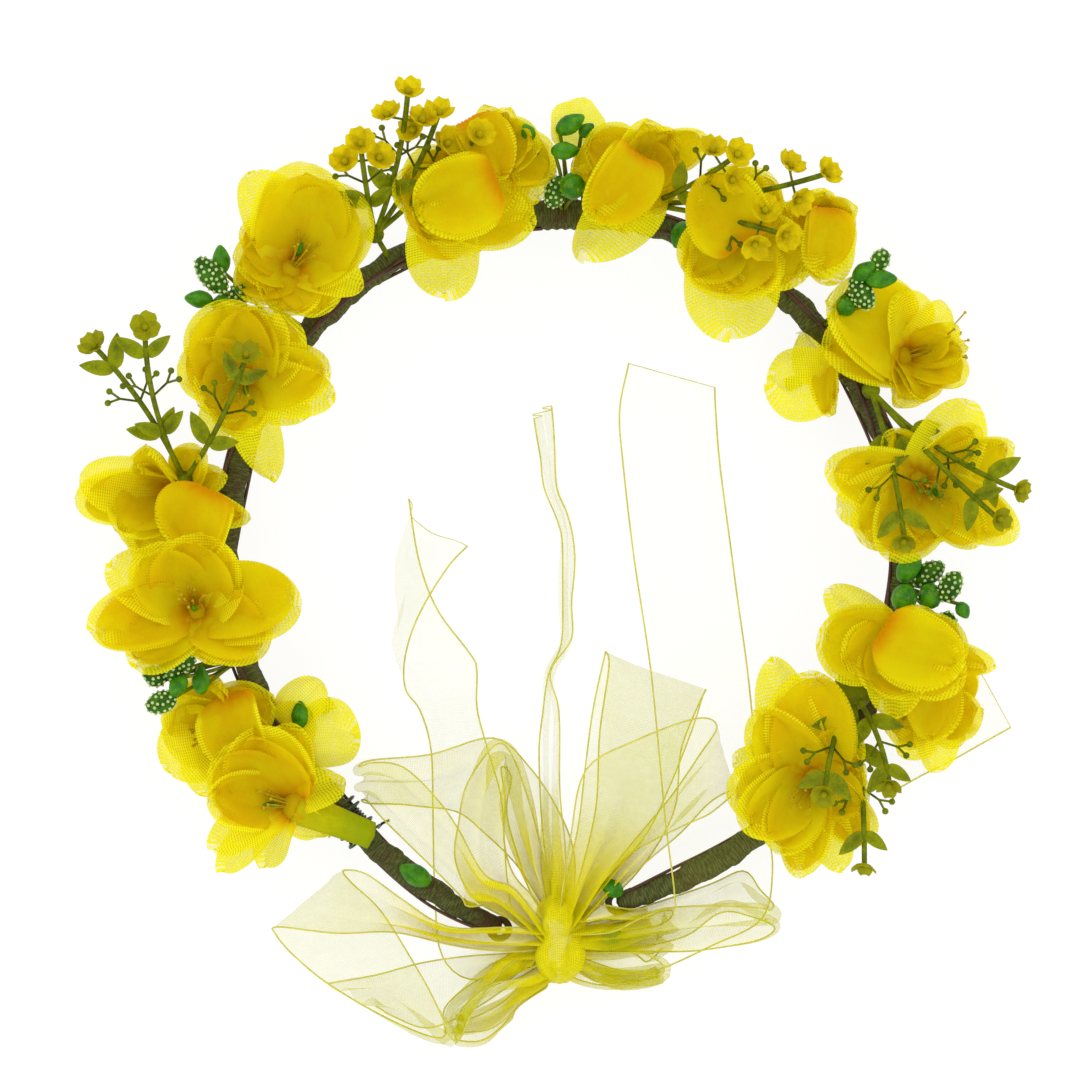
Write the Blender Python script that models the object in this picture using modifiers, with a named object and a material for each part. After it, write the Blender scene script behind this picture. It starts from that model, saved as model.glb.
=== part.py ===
"""Flower crown: a taped wire hoop with cloth blossoms, plastic sprigs and berries, tied by a ribbon bow.

Run it with blender --background --python part.py, or from the text editor. Units are metres and
+Z is up. The crown lies on the plane z = 0 with the tie towards -Y, and the origin is the middle
of the hoop on that plane. Plan angles run counter-clockwise from +X, in degrees.
"""

import math
from dataclasses import dataclass

import bmesh
import bpy
from mathutils import Matrix, Vector

COLLECTION = "flower_crown"
CUTTERS = "flower_crown_cutters"
MM = 0.001
CLEARANCE = 0.0004

# Hoop: two taped wire arms that meet at the front and are laced together at the back.
HOOP_RADIUS = 0.0915
HOOP_HEIGHT = 0.0170
TAPE_RADIUS = 0.0038
WIRE_RADIUS = 0.0011
EYE_RADIUS = 0.0034
EYE_SWEEP = 290.0
EYE_POINTS = 9
FRONT_ANGLE = 90.0
LEFT_END = 258.0
RIGHT_END = -79.0
FLARE_START = 46.0
LEFT_FLARE = 0.0110
RIGHT_FLARE = 0.0040
ARM_STEP = 6.0
BINDING_ANGLE = 232.0
BINDING_TURNS = 4
BINDING_PITCH = 0.0030
BINDING_STEPS = 10
BINDING_END = 0.0060

# Blossoms: a tube on a stem wire, with a ring of petals round its mouth and stamens in the middle.
PETAL_COUNT = 5
PETAL_STEPS = 4
PETAL_THICKNESS = 0.0008
BELL_PROFILE = ((0.55, 0.35), (0.85, 0.55), (1.0, 0.62))  # out and up from the mouth, over the reach
NOTCH_DEPTH = 0.28
NOTCH_LIFT = 0.12
TUBE_RADIUS = 0.0030
TUBE_BASE_RADIUS = 0.0016
TUBE_LENGTH = 0.0090
STEM_RADIUS = 0.0008
STAMEN_RADIUS = 0.0012
STAMEN_LENGTH = 0.0100

# Berry clusters and sprigs, all on thin stems.
BERRY_LENGTH = 0.0100
BERRY_RADIUS = 0.0031
BERRY_STALK = 0.0070
BERRY_FORK = 0.0030
BERRY_FAN = ((0, 0), (52, 5), (-52, 5), (26, 45), (-31, -30))  # turn and lift of each berry, in degrees
SPRIG_STEM_RADIUS = 0.0009
SPRIG_LENGTH = 0.0340
SPRIG_FORK = 0.0045
STEM_SPREAD = 26.0
LEAF_PLACES = ((-1.0, 0.45), (1.0, 0.53))  # side of the stem, and share of the stem's length
LEAF_OVERLAP = 0.05
LEAF_LENGTH = 0.0110
LEAF_WIDTH = 0.0050
LEAF_THICKNESS = 0.0016
FLORET_RADIUS = 0.0042

# Ribbon: one width of organza, tied in a bow.
RIBBON_WIDTH = 0.0250
RIBBON_THICKNESS = 0.0008
KNOT_SIZE = Vector((0.0075, 0.0080, 0.0065))
KNOT_PLACE = Vector((-0.0015, -0.0130 - HOOP_RADIUS, HOOP_HEIGHT + 0.0020))


@dataclass(frozen=True)
class Blossom:
    """One blossom: where its mouth is, and which way it opens.

    angle is the mouth's plan angle and out its distance outside the hoop's centre line. rise is how
    far the foot of the tube is over the tape, or None where the lowest petal lies at rests_on.
    heading and tilt are its direction in plan and above the horizontal; reach is a petal's length.
    """

    name: str
    angle: float
    out: float
    rise: float | None
    heading: float
    tilt: float
    reach: float
    rests_on: float = 0.0


BLOSSOMS = (
    Blossom("01", 223, 0.0085, 0.0015, 165, 35, 0.0170),
    Blossom("02", 207, 0.0125, None, 200, 20, 0.0170),
    Blossom("03", 189, 0.0085, 0.0020, 110, 65, 0.0185),
    Blossom("04", 171, 0.0145, None, 184, 20, 0.0170),
    Blossom("05", 151, 0.0065, 0.0025, 235, 60, 0.0172),
    Blossom("06", 134, 0.0145, 0.0025, 50, 45, 0.0205),
    Blossom("07", 109, 0.0085, 0.0020, 262, 60, 0.0155),
    Blossom("08", 101, 0.0175, 0.0010, 45, 30, 0.0125),
    Blossom("09", 80, 0.0135, 0.0015, 5, 35, 0.0170),
    Blossom("10", 62, 0.0070, 0.0015, 250, 60, 0.0172),
    Blossom("11", 54, 0.0205, 0.0010, 345, 40, 0.0135),
    Blossom("12", 30, 0.0150, None, 15, 20, 0.0180),
    Blossom("13", 11.5, 0.0055, 0.0025, 310, 60, 0.0175),
    Blossom("14", 345, 0.0005, 0.0025, 260, 60, 0.0150),
    Blossom("15", 336, 0.0150, None, 335, 20, 0.0145, RIBBON_THICKNESS + CLEARANCE),
    Blossom("16", 318, -0.0015, 0.0025, 245, 60, 0.0178),
    Blossom("17", 213, -0.0165, None, 32, -10, 0.0115),
    Blossom("18", 37, -0.0165, None, 200, -10, 0.0115),
)


@dataclass(frozen=True)
class Cluster:
    """Berries or stems that fan out from one place: its plan angle, its distance outside the hoop's
    centre line, its height over the tape, and the heading and tilt of its middle."""

    name: str
    angle: float
    out: float
    rise: float
    heading: float
    tilt: float


BERRIES = (
    Cluster("1", 143.5, 0.0095, 0.0020, 148, 45),
    Cluster("2", 90.5, 0.0045, 0.0020, 88, 50),
    Cluster("3", 42, 0.0065, 0.0020, 38, 40),
    Cluster("4", 355, 0.0045, 0.0020, 350, 45),
    Cluster("5", 199, 0.0065, 0.0020, 190, 60),
)
SPRIGS = (
    Cluster("1", 163.5, 0.0045, 0.0250, 122, 8),
    Cluster("2", 120.5, 0.0045, 0.0230, 60, 15),
    Cluster("3", 72, 0.0045, 0.0270, 0, 10),
    Cluster("4", 22, 0.0045, 0.0280, 310, 12),
    Cluster("5", 327, 0.0045, 0.0250, 285, 8),
)


def polar(angle, radius, height):
    """The point at a plan angle in degrees, a distance from the hoop's middle and a height."""
    turn = math.radians(angle)
    return Vector((radius * math.cos(turn), radius * math.sin(turn), height))


def direction(heading, tilt):
    """The unit vector with this plan heading and this angle above the horizontal, in degrees."""
    return polar(heading, math.cos(math.radians(tilt)), math.sin(math.radians(tilt)))


def clear_scene():
    for obj in list(bpy.data.objects):
        bpy.data.objects.remove(obj, do_unlink=True)


def new_collection(name, hidden=False):
    collection = bpy.data.collections.new(name)
    bpy.context.scene.collection.children.link(collection)
    collection.hide_render = hidden
    return collection


def new_material(name, colour, roughness, metallic=0.0, alpha=1.0):
    material = bpy.data.materials.new(name)
    material.use_nodes = True
    shader = material.node_tree.nodes["Principled BSDF"]
    shader.inputs["Base Color"].default_value = (*colour, 1.0)
    shader.inputs["Roughness"].default_value = roughness
    shader.inputs["Metallic"].default_value = metallic
    shader.inputs["Alpha"].default_value = alpha
    material.diffuse_color = (*colour, alpha)
    return material


def add_object(name, data, material, collection):
    obj = bpy.data.objects.new(name, data)
    data.materials.append(material)
    collection.objects.link(obj)
    return obj


def mesh_object(name, build, material, collection, smooth=True):
    """An object whose mesh is what build(bm) adds to an empty bmesh."""
    bm = bmesh.new()
    build(bm)
    bmesh.ops.recalc_face_normals(bm, faces=bm.faces)
    mesh = bpy.data.meshes.new(name)
    bm.to_mesh(mesh)
    bm.free()
    if smooth:
        mesh.shade_smooth()
    return add_object(name, mesh, material, collection)


def tube_object(name, points, radii, material, collection, sides=2):
    """A closed tube through points, as a curve with its own radius at each point."""
    curve = bpy.data.curves.new(name, "CURVE")
    curve.dimensions = "3D"
    curve.bevel_depth = 1.0
    curve.bevel_resolution = sides
    curve.use_fill_caps = True
    spline = curve.splines.new("POLY")
    spline.points.add(len(points) - 1)
    for knot, place, radius in zip(spline.points, points, radii):
        knot.co = (*place, 1.0)
        knot.radius = radius
    spline.use_smooth = True
    return add_object(name, curve, material, collection)


def facing(place, heading):
    """The matrix that puts an object's origin at place with its local Z along heading."""
    return Matrix.Translation(place) @ heading.to_track_quat("Z", "Y").to_matrix().to_4x4()


def hoop_point(angle):
    """A point on the arms' centre line: a circle that flares outwards near the tie."""
    angle = (angle + 90.0) % 360.0 - 90.0
    left = angle >= FRONT_ANGLE
    from_tie = LEFT_END - angle if left else angle - RIGHT_END
    share = max(0.0, 1.0 - from_tie / FLARE_START)
    flare = LEFT_FLARE if left else RIGHT_FLARE
    return polar(angle, HOOP_RADIUS + flare * share * share, HOOP_HEIGHT)


def make_arm(name, end, material, collection):
    """A taped arm: a tube along the hoop that narrows to bare wire and closes in an eye at the tie."""
    front = FRONT_ANGLE + math.copysign(math.degrees(CLEARANCE / HOOP_RADIUS), end)
    steps = round(abs(end - front) / ARM_STEP)
    points = [hoop_point(front + (end - front) * i / steps) for i in range(steps + 1)]
    radii = [TAPE_RADIUS] * len(points)
    ahead = (points[-1] - points[-2]).normalized()
    across = Vector((-ahead.y, ahead.x, 0.0))
    eye_centre = points[-1] + ahead * (EYE_RADIUS + 2.0 * WIRE_RADIUS)
    for i in range(EYE_POINTS):
        turn = math.radians(180.0 - EYE_SWEEP * i / (EYE_POINTS - 1))
        points.append(eye_centre + EYE_RADIUS * (math.cos(turn) * ahead + math.sin(turn) * across))
        radii.append(WIRE_RADIUS)
    return tube_object(name, points, radii, material, collection)


def make_binding(name, material, collection):
    """The coil of thin wire that closes the tape on the bare left arm, with one end left free."""
    coil_radius = TAPE_RADIUS + CLEARANCE + STEM_RADIUS
    centre = hoop_point(BINDING_ANGLE)
    ahead = (hoop_point(BINDING_ANGLE + 1.0) - centre).normalized()
    outward = Vector((ahead.y, -ahead.x, 0.0))
    up = Vector((0.0, 0.0, 1.0))
    points = []
    for i in range(BINDING_TURNS * BINDING_STEPS + 1):
        turns = i / BINDING_STEPS
        turn = math.tau * turns
        along = BINDING_PITCH * (turns - BINDING_TURNS / 2)
        spoke = math.cos(turn) * outward + math.sin(turn) * up
        points.append(centre + ahead * along + coil_radius * spoke)
    points.append(points[-1] + BINDING_END * (up + 0.6 * outward))
    return tube_object(name, points, [STEM_RADIUS] * len(points), material, collection)


def petal_ring(blossom):
    """The builder of one blossom's open petal surface: a flared bell, lobed into petals."""

    def build(bm):
        mouth = TUBE_RADIUS + CLEARANCE + PETAL_THICKNESS
        reach = blossom.reach
        verts = [bm.verts.new((mouth, 0.0, 0.0))]
        verts += [bm.verts.new((reach * out, 0.0, reach * up)) for out, up in BELL_PROFILE]
        edges = [bm.edges.new(pair) for pair in zip(verts, verts[1:])]
        bmesh.ops.spin(
            bm,
            geom=verts + edges,
            axis=(0.0, 0.0, 1.0),
            cent=(0.0, 0.0, 0.0),
            steps=PETAL_COUNT * PETAL_STEPS,
            angle=math.tau,
        )
        bmesh.ops.remove_doubles(bm, verts=bm.verts, dist=0.00001)
        for vert in bm.verts:
            radius = math.hypot(vert.co.x, vert.co.y)
            share = (radius - mouth) / (reach - mouth)
            lobe = math.cos(PETAL_COUNT * math.atan2(vert.co.y, vert.co.x))
            notch = 0.5 * (1.0 - lobe)
            vert.co.x *= 1.0 - NOTCH_DEPTH * share * share * notch
            vert.co.y *= 1.0 - NOTCH_DEPTH * share * share * notch
            vert.co.z += NOTCH_LIFT * reach * share * notch

    return build


def make_blossom(blossom, petal_material, tube_material, collection):
    """A ring of petals, and the tube through it, which runs from a stem on the hoop to the stamens."""
    place = polar(blossom.angle, HOOP_RADIUS + blossom.out, HOOP_HEIGHT + TAPE_RADIUS)
    heading = direction(blossom.heading, blossom.tilt)
    petals = mesh_object("petals_" + blossom.name, petal_ring(blossom), petal_material, collection)
    if blossom.rise is None:
        turn = facing(Vector(), heading)
        lowest = min((turn @ vert.co).z for vert in petals.data.vertices)
        place.z = blossom.rests_on + 0.5 * PETAL_THICKNESS - lowest
    else:
        place.z += blossom.rise + TUBE_LENGTH * heading.z
    petals.matrix_world = facing(place, heading)
    solidify = petals.modifiers.new("thickness", "SOLIDIFY")
    solidify.thickness = PETAL_THICKNESS
    solidify.offset = 0.0

    tube_base = place - heading * TUBE_LENGTH
    anchor = hoop_point(math.degrees(math.atan2(tube_base.y, tube_base.x)))
    away = (tube_base - anchor).normalized()
    on_tape = anchor + away * (TAPE_RADIUS + CLEARANCE + 2.0 * STEM_RADIUS)
    points = (
        on_tape,
        tube_base,
        tube_base + 0.3 * TUBE_LENGTH * heading,
        place - 0.5 * PETAL_THICKNESS * heading,
        place + 0.15 * STAMEN_LENGTH * heading,
        place + STAMEN_LENGTH * heading,
    )
    radii = (STEM_RADIUS, TUBE_BASE_RADIUS, 0.8 * TUBE_RADIUS, TUBE_RADIUS, STAMEN_RADIUS, STAMEN_RADIUS)
    tube_object("tube_" + blossom.name, points, radii, tube_material, collection)


def rod(name, start, end, radius, material, collection):
    """A six-sided rod between two points, for joining to others."""
    length = (end - start).length

    def build(bm):
        bmesh.ops.create_cone(
            bm,
            cap_ends=True,
            segments=6,
            radius1=radius,
            radius2=radius,
            depth=length,
            matrix=Matrix.Translation((0.0, 0.0, 0.5 * length)),
        )

    obj = mesh_object(name, build, material, collection)
    obj.matrix_world = facing(start, end - start)
    return obj


def ellipsoid(name, centre, heading, size, material, collection, segments=8):
    """An ellipsoid with its longest way along heading; size is its three diameters."""

    def build(bm):
        bmesh.ops.create_uvsphere(bm, u_segments=segments, v_segments=6, radius=0.5)

    obj = mesh_object(name, build, material, collection)
    obj.matrix_world = facing(centre, heading) @ Matrix.Diagonal((*size, 1.0))
    return obj


def join(name, pieces, material, collection):
    """One body from overlapping pieces: the first one, with the others united to it."""
    body = pieces[0]
    body.name = name
    for other in list(body.users_collection):
        other.objects.unlink(body)
    collection.objects.link(body)
    helpers = bpy.data.collections.new(name + "_pieces")
    bpy.data.collections[CUTTERS].children.link(helpers)
    helpers.hide_render = True
    for piece in pieces[1:]:
        for other in list(piece.users_collection):
            other.objects.unlink(piece)
        helpers.objects.link(piece)
        piece.hide_render = True
        piece.display_type = "WIRE"
    union = body.modifiers.new("union", "BOOLEAN")
    union.operation = "UNION"
    union.solver = "EXACT"
    union.operand_type = "COLLECTION"
    union.collection = helpers
    return body


def make_berries(cluster, material, collection):
    """Berries on stalks that fan out from one place on the hoop."""
    cutters = bpy.data.collections[CUTTERS]
    name = "berries_" + cluster.name
    base = polar(cluster.angle, HOOP_RADIUS + cluster.out, HOOP_HEIGHT + TAPE_RADIUS + cluster.rise)
    up = Vector((0.0, 0.0, 1.0))
    pieces = [ellipsoid(name, base, up, (BERRY_FORK, BERRY_FORK, BERRY_FORK), material, cutters)]
    for i, (turn, lift) in enumerate(BERRY_FAN):
        way = direction(cluster.heading + turn, cluster.tilt + lift)
        centre = base + way * (BERRY_STALK + 0.5 * BERRY_LENGTH)
        size = (2.0 * BERRY_RADIUS, 2.0 * BERRY_RADIUS, BERRY_LENGTH)
        pieces.append(rod(f"{name}_stalk_{i}", base, centre, STEM_RADIUS, material, cutters))
        pieces.append(ellipsoid(f"{name}_berry_{i}", centre, way, size, material, cutters))
    return join(name, pieces, material, collection)


def make_sprig(cluster, material, collection):
    """Three stems with paired leaves, side buds and a floret at each tip."""
    cutters = bpy.data.collections[CUTTERS]
    name = "sprig_" + cluster.name
    tape_top = HOOP_HEIGHT + TAPE_RADIUS
    base = polar(cluster.angle, HOOP_RADIUS + cluster.out, tape_top + cluster.rise)
    foot = polar(cluster.angle, HOOP_RADIUS, tape_top + CLEARANCE + STEM_RADIUS)
    pieces = [rod(name, foot, base, SPRIG_STEM_RADIUS, material, cutters)]
    fork = (SPRIG_FORK, SPRIG_FORK, SPRIG_FORK)
    pieces.append(ellipsoid(name + "_fork", base, base - foot, fork, material, cutters))
    for i, turn in enumerate((-STEM_SPREAD, 0.0, STEM_SPREAD)):
        way = direction(cluster.heading + turn, cluster.tilt)
        side = direction(cluster.heading + turn + 90.0, 0.0)
        tip = base + way * SPRIG_LENGTH
        pieces.append(rod(f"{name}_stem_{i}", base, tip, SPRIG_STEM_RADIUS, material, cutters))
        floret = (2.0 * FLORET_RADIUS, 2.0 * FLORET_RADIUS, FLORET_RADIUS)
        pieces.append(ellipsoid(f"{name}_floret_{i}", tip, way, floret, material, cutters))
        for j, (hand, share) in enumerate(LEAF_PLACES):
            out = (way + 0.8 * hand * side).normalized()
            centre = base + way * SPRIG_LENGTH * share + (0.5 - LEAF_OVERLAP) * LEAF_LENGTH * out
            size = (LEAF_WIDTH, LEAF_THICKNESS, LEAF_LENGTH)
            pieces.append(ellipsoid(f"{name}_leaf_{i}_{j}", centre, out, size, material, cutters, 6))
    return join(name, pieces, material, collection)


def strip_object(name, stations, material, collection):
    """A ribbon: a strip lofted through stations (centre, half-width vector), made solid."""

    def build(bm):
        previous = None
        for centre, half in stations:
            row = [bm.verts.new(centre - half), bm.verts.new(centre + half)]
            if previous:
                bm.faces.new((previous[0], row[0], row[1], previous[1]))
            previous = row

    obj = mesh_object(name, build, material, collection, smooth=False)
    solidify = obj.modifiers.new("thickness", "SOLIDIFY")
    solidify.thickness = RIBBON_THICKNESS
    solidify.offset = 0.0
    return obj


# Ribbon courses, as rows of: plan place from the knot in mm, height over the hoop's plane in mm, the
# heading and bank of the ribbon's width in degrees, and how much of its half width is spread out.
LOOPS = {
    "loop_left_back": (
        (-5, 9, 2, 20, 0, 0.28), (-11, 26, -2, 15, 0, 0.72), (-17, 46, -9, 10, 0, 0.88),
        (-19, 54, -6, 10, 0, 0.96), (-17, 47, -2, 10, 0, 0.88), (-12, 28, 2, 15, 0, 0.72),
        (-5.5, 10, 5, 20, 0, 0.28),
    ),
    "loop_left_side": (
        (-9.5, 7, 8, 60, 0, 0.2), (-24, 22, 9, 55, 0, 0.4), (-42, 38, 7, 55, 0, 0.64),
        (-51, 45, 9, 55, 0, 0.64), (-42, 39, 13, 55, 0, 0.64), (-24, 23, 14, 55, 0, 0.4),
        (-9.5, 8, 12, 60, 0, 0.2),
    ),
    "loop_left_front": (
        (-10, -2, 6, 100, 0, 0.24), (-28, -4, 8, 100, 0, 0.72), (-55, -3, 7, 95, 0, 0.96),
        (-72, 2, 9, 90, 0, 0.96), (-54, -4, 13, 95, 0, 0.96), (-28, -5, 14, 100, 0, 0.72),
        (-10, -3, 11, 100, 0, 0.24),
    ),
    "loop_right_back": (
        (3, 10, 1, -20, 0, 0.24), (10, 30, -4, -25, 0, 0.72), (20, 56, -12, -25, 0, 0.96),
        (23, 64, -9, -25, 0, 0.96), (20, 57, -5, -25, 0, 0.96), (11, 31, 3, -25, 0, 0.72),
        (3.5, 11, 6, -20, 0, 0.24),
    ),
}
TAILS = {
    "tail_curled": (
        (-6, 6, -4, 40, 0, 0.16), (-20, 26, -14, 40, 0, 0.64), (-34, 50, -14, 20, 0, 0.8),
        (-38, 76, -14, 5, 0, 0.64), (-41, 100, -17, 10, 30, 0.64), (-38, 119, -17, 30, 30, 0.64),
    ),
    "tail_on_edge": (
        (0, 9, -4, 0, 30, 0.16), (-2, 40, -17, 0, 60, 0.4), (0, 76, -17, 0, 75, 0.4),
        (2, 92, -17, 0, 75, 0.4), (-3, 118, -17, 0, 75, 0.4), (-5, 141, -17, 0, 75, 0.4),
    ),
    "tail_wide": (
        (9, -3, 0, 95, 0, 0.32), (20, -7, -1, 85, 0, 0.64), (36, -8, -2, 60, 0, 0.88),
        (45, -4, 1, 25, 0, 1), (43.5, 6, 7, 14, 0, 1), (40.5, 22, 10, 6, 0, 0.92),
        (37, 42, 10, 4, 0, 0.88), (35, 66, 4, 3, 0, 0.92), (34, 92, -13, 2, 0, 1),
        (32, 108, -17, 2, 0, 1), (30, 153, -17, 2, 0, 1),
    ),
}
LACING = (
    (14.5, 7, 3.5, 120, 0, 0.18),
    (12, 4.5, 4.5, 120, 0, 0.19),
    (9.8, 3, 4, 120, 0, 0.18),
)
# The loose end's two stations in plan from the hoop's middle, in mm, and the heading of its width.
LOOSE_END = ((112, -35), (82, -52))
LOOSE_END_HEADING = 119.0


def from_knot(rows):
    """Stations from rows of a ribbon course, none of which goes under the table."""
    stations = []
    for x, y, height, heading, bank, spread in rows:
        half = direction(heading, bank) * 0.5 * RIBBON_WIDTH * spread
        above_table = abs(half.z) + RIBBON_THICKNESS
        centre = Vector((KNOT_PLACE.x + MM * x, KNOT_PLACE.y + MM * y, 0.0))
        centre.z = max(HOOP_HEIGHT + MM * height, above_table)
        stations.append((centre, half))
    return stations


def make_ribbons(material, collection):
    """The knot, the loops and tails that swing with it, the lacing to the right eye and a loose end."""

    def build_knot(bm):
        bmesh.ops.create_uvsphere(bm, u_segments=16, v_segments=10, radius=1.0)

    knot = mesh_object("knot", build_knot, material, collection)
    knot.matrix_world = Matrix.Translation(KNOT_PLACE) @ Matrix.Diagonal((*KNOT_SIZE, 1.0))
    for name, rows in {**LOOPS, **TAILS, "lacing": LACING}.items():
        strip_object(name, from_knot(rows), material, collection)
    half = polar(LOOSE_END_HEADING, 0.5 * RIBBON_WIDTH, 0.0)
    stations = [(Vector((MM * x, MM * y, 0.5 * RIBBON_THICKNESS)), half) for x, y in LOOSE_END]
    strip_object("loose_end", stations, material, collection)


def main():
    clear_scene()
    collection = new_collection(COLLECTION)
    new_collection(CUTTERS, hidden=True)
    tape = new_material("floral_tape", (0.11, 0.17, 0.07), 0.75)
    wire = new_material("binding_wire", (0.05, 0.07, 0.03), 0.45, 0.3)
    petal = new_material("petal_cloth", (0.80, 0.66, 0.01), 0.85)
    tube = new_material("blossom_tube", (0.45, 0.52, 0.02), 0.6)
    leaf = new_material("sprig_plastic", (0.20, 0.27, 0.01), 0.45)
    berry = new_material("berry_foam", (0.06, 0.22, 0.02), 0.5)
    organza = new_material("organza", (0.90, 0.88, 0.45), 0.6, alpha=0.5)

    make_arm("arm_left", LEFT_END, tape, collection)
    make_arm("arm_right", RIGHT_END, tape, collection)
    make_binding("binding_wire", wire, collection)
    for blossom in BLOSSOMS:
        make_blossom(blossom, petal, tube, collection)
    for cluster in BERRIES:
        make_berries(cluster, berry, collection)
    for cluster in SPRIGS:
        make_sprig(cluster, leaf, collection)
    make_ribbons(organza, collection)


main()
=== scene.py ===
"""Looks of the flower crown: cloth blossoms, sprigs, berries, taped arms and an organza bow.

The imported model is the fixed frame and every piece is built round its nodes. Lengths are metres, and the
rows that lay out petals, stems and ribbons are millimetres and degrees.
"""

import logging
import math
from dataclasses import dataclass, field
from enum import Enum

import bmesh
import bpy
import numpy as np
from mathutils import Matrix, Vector


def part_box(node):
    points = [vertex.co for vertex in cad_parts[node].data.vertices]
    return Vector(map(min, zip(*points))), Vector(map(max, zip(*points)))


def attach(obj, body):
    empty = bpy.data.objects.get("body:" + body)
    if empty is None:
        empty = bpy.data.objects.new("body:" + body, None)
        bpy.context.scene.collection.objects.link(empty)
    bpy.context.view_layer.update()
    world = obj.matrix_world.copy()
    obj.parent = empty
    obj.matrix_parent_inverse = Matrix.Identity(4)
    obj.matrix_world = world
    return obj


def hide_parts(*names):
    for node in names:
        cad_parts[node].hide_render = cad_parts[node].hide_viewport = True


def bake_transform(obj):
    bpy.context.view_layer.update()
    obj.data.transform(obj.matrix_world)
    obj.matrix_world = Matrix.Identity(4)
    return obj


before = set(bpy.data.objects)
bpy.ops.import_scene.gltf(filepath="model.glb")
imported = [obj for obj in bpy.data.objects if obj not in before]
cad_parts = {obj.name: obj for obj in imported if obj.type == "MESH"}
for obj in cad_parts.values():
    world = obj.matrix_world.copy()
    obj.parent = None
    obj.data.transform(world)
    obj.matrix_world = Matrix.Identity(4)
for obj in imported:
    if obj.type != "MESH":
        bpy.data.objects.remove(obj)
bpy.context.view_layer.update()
LOG = logging.getLogger("flower_crown")
MM = 0.001
UP = np.array((0.0, 0.0, 1.0))
TABLE_GAP = 0.0003
Colour = tuple[float, float, float]


class Body(Enum):
    """The CAD bodies that a piece may ride on."""

    LEFT = "left_half"
    RIGHT = "right_half"
    BOW = "bow"


class Layers(Enum):
    """How many layers of gauze a petal has."""

    SHEER = 1
    DENSE = 2


class Slot(Enum):
    """The record's material slots."""

    TAPE = "floral_tape"
    PETAL = "petal_cloth"
    SPRIG = "sprig_plastic"
    BERRY = "berry_foam"
    ORGANZA = "organza"
    WIRE = "binding_wire"


def unit(vector: np.ndarray) -> np.ndarray:
    """The vector at length one, along its last axis."""
    length = np.linalg.norm(vector, axis=-1, keepdims=True)
    return vector / np.maximum(length, 1e-12)


def plan(direction: float, reach: float, height: float = 0.0) -> np.ndarray:
    """A plan offset from its compass direction in degrees and its reach, with a height, all in mm.

    Args:
        direction: Degrees counter-clockwise from +X.
        reach: Distance in plan, in millimetres.
        height: Height, in millimetres.

    Returns:
        The offset in metres.
    """
    turn = math.radians(direction)
    return np.array((reach * math.cos(turn), reach * math.sin(turn), height)) * MM


def catmull(points: np.ndarray, per_span: int) -> np.ndarray:
    """A smooth line through rows of numbers.

    Args:
        points: Rows to pass through, of any width.
        per_span: Steps between two rows.

    Returns:
        The rows of the smooth line, both ends included.
    """
    padded = np.concatenate([[2 * points[0] - points[1]], points, [2 * points[-1] - points[-2]]])
    rows = []
    for a, b, c, d in zip(padded, padded[1:], padded[2:], padded[3:]):
        for t in np.arange(per_span) / per_span:
            rows.append(0.5 * (2 * b + (c - a) * t + (2 * a - 5 * b + 4 * c - d) * t**2
                + (3 * b - a - 3 * c + d) * t**3))
    rows.append(padded[-2])
    return np.array(rows)


def bezier(start: np.ndarray, bend: np.ndarray, end: np.ndarray, steps: int) -> np.ndarray:
    """A curve of one bend from start to end, as steps + 1 points."""
    t = np.linspace(0, 1, steps + 1)[:, None]
    return (1 - t) ** 2 * start + 2 * t * (1 - t) * bend + t**2 * end


def show(mesh: bpy.types.Mesh, name: str) -> bpy.types.Object:
    """Puts a mesh in the scene as an object at the origin.

    Args:
        mesh: The mesh.
        name: The object's name.

    Returns:
        The object.
    """
    obj = bpy.data.objects.new(name, mesh)
    bpy.context.scene.collection.objects.link(obj)
    return obj


# ---- meshes


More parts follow.
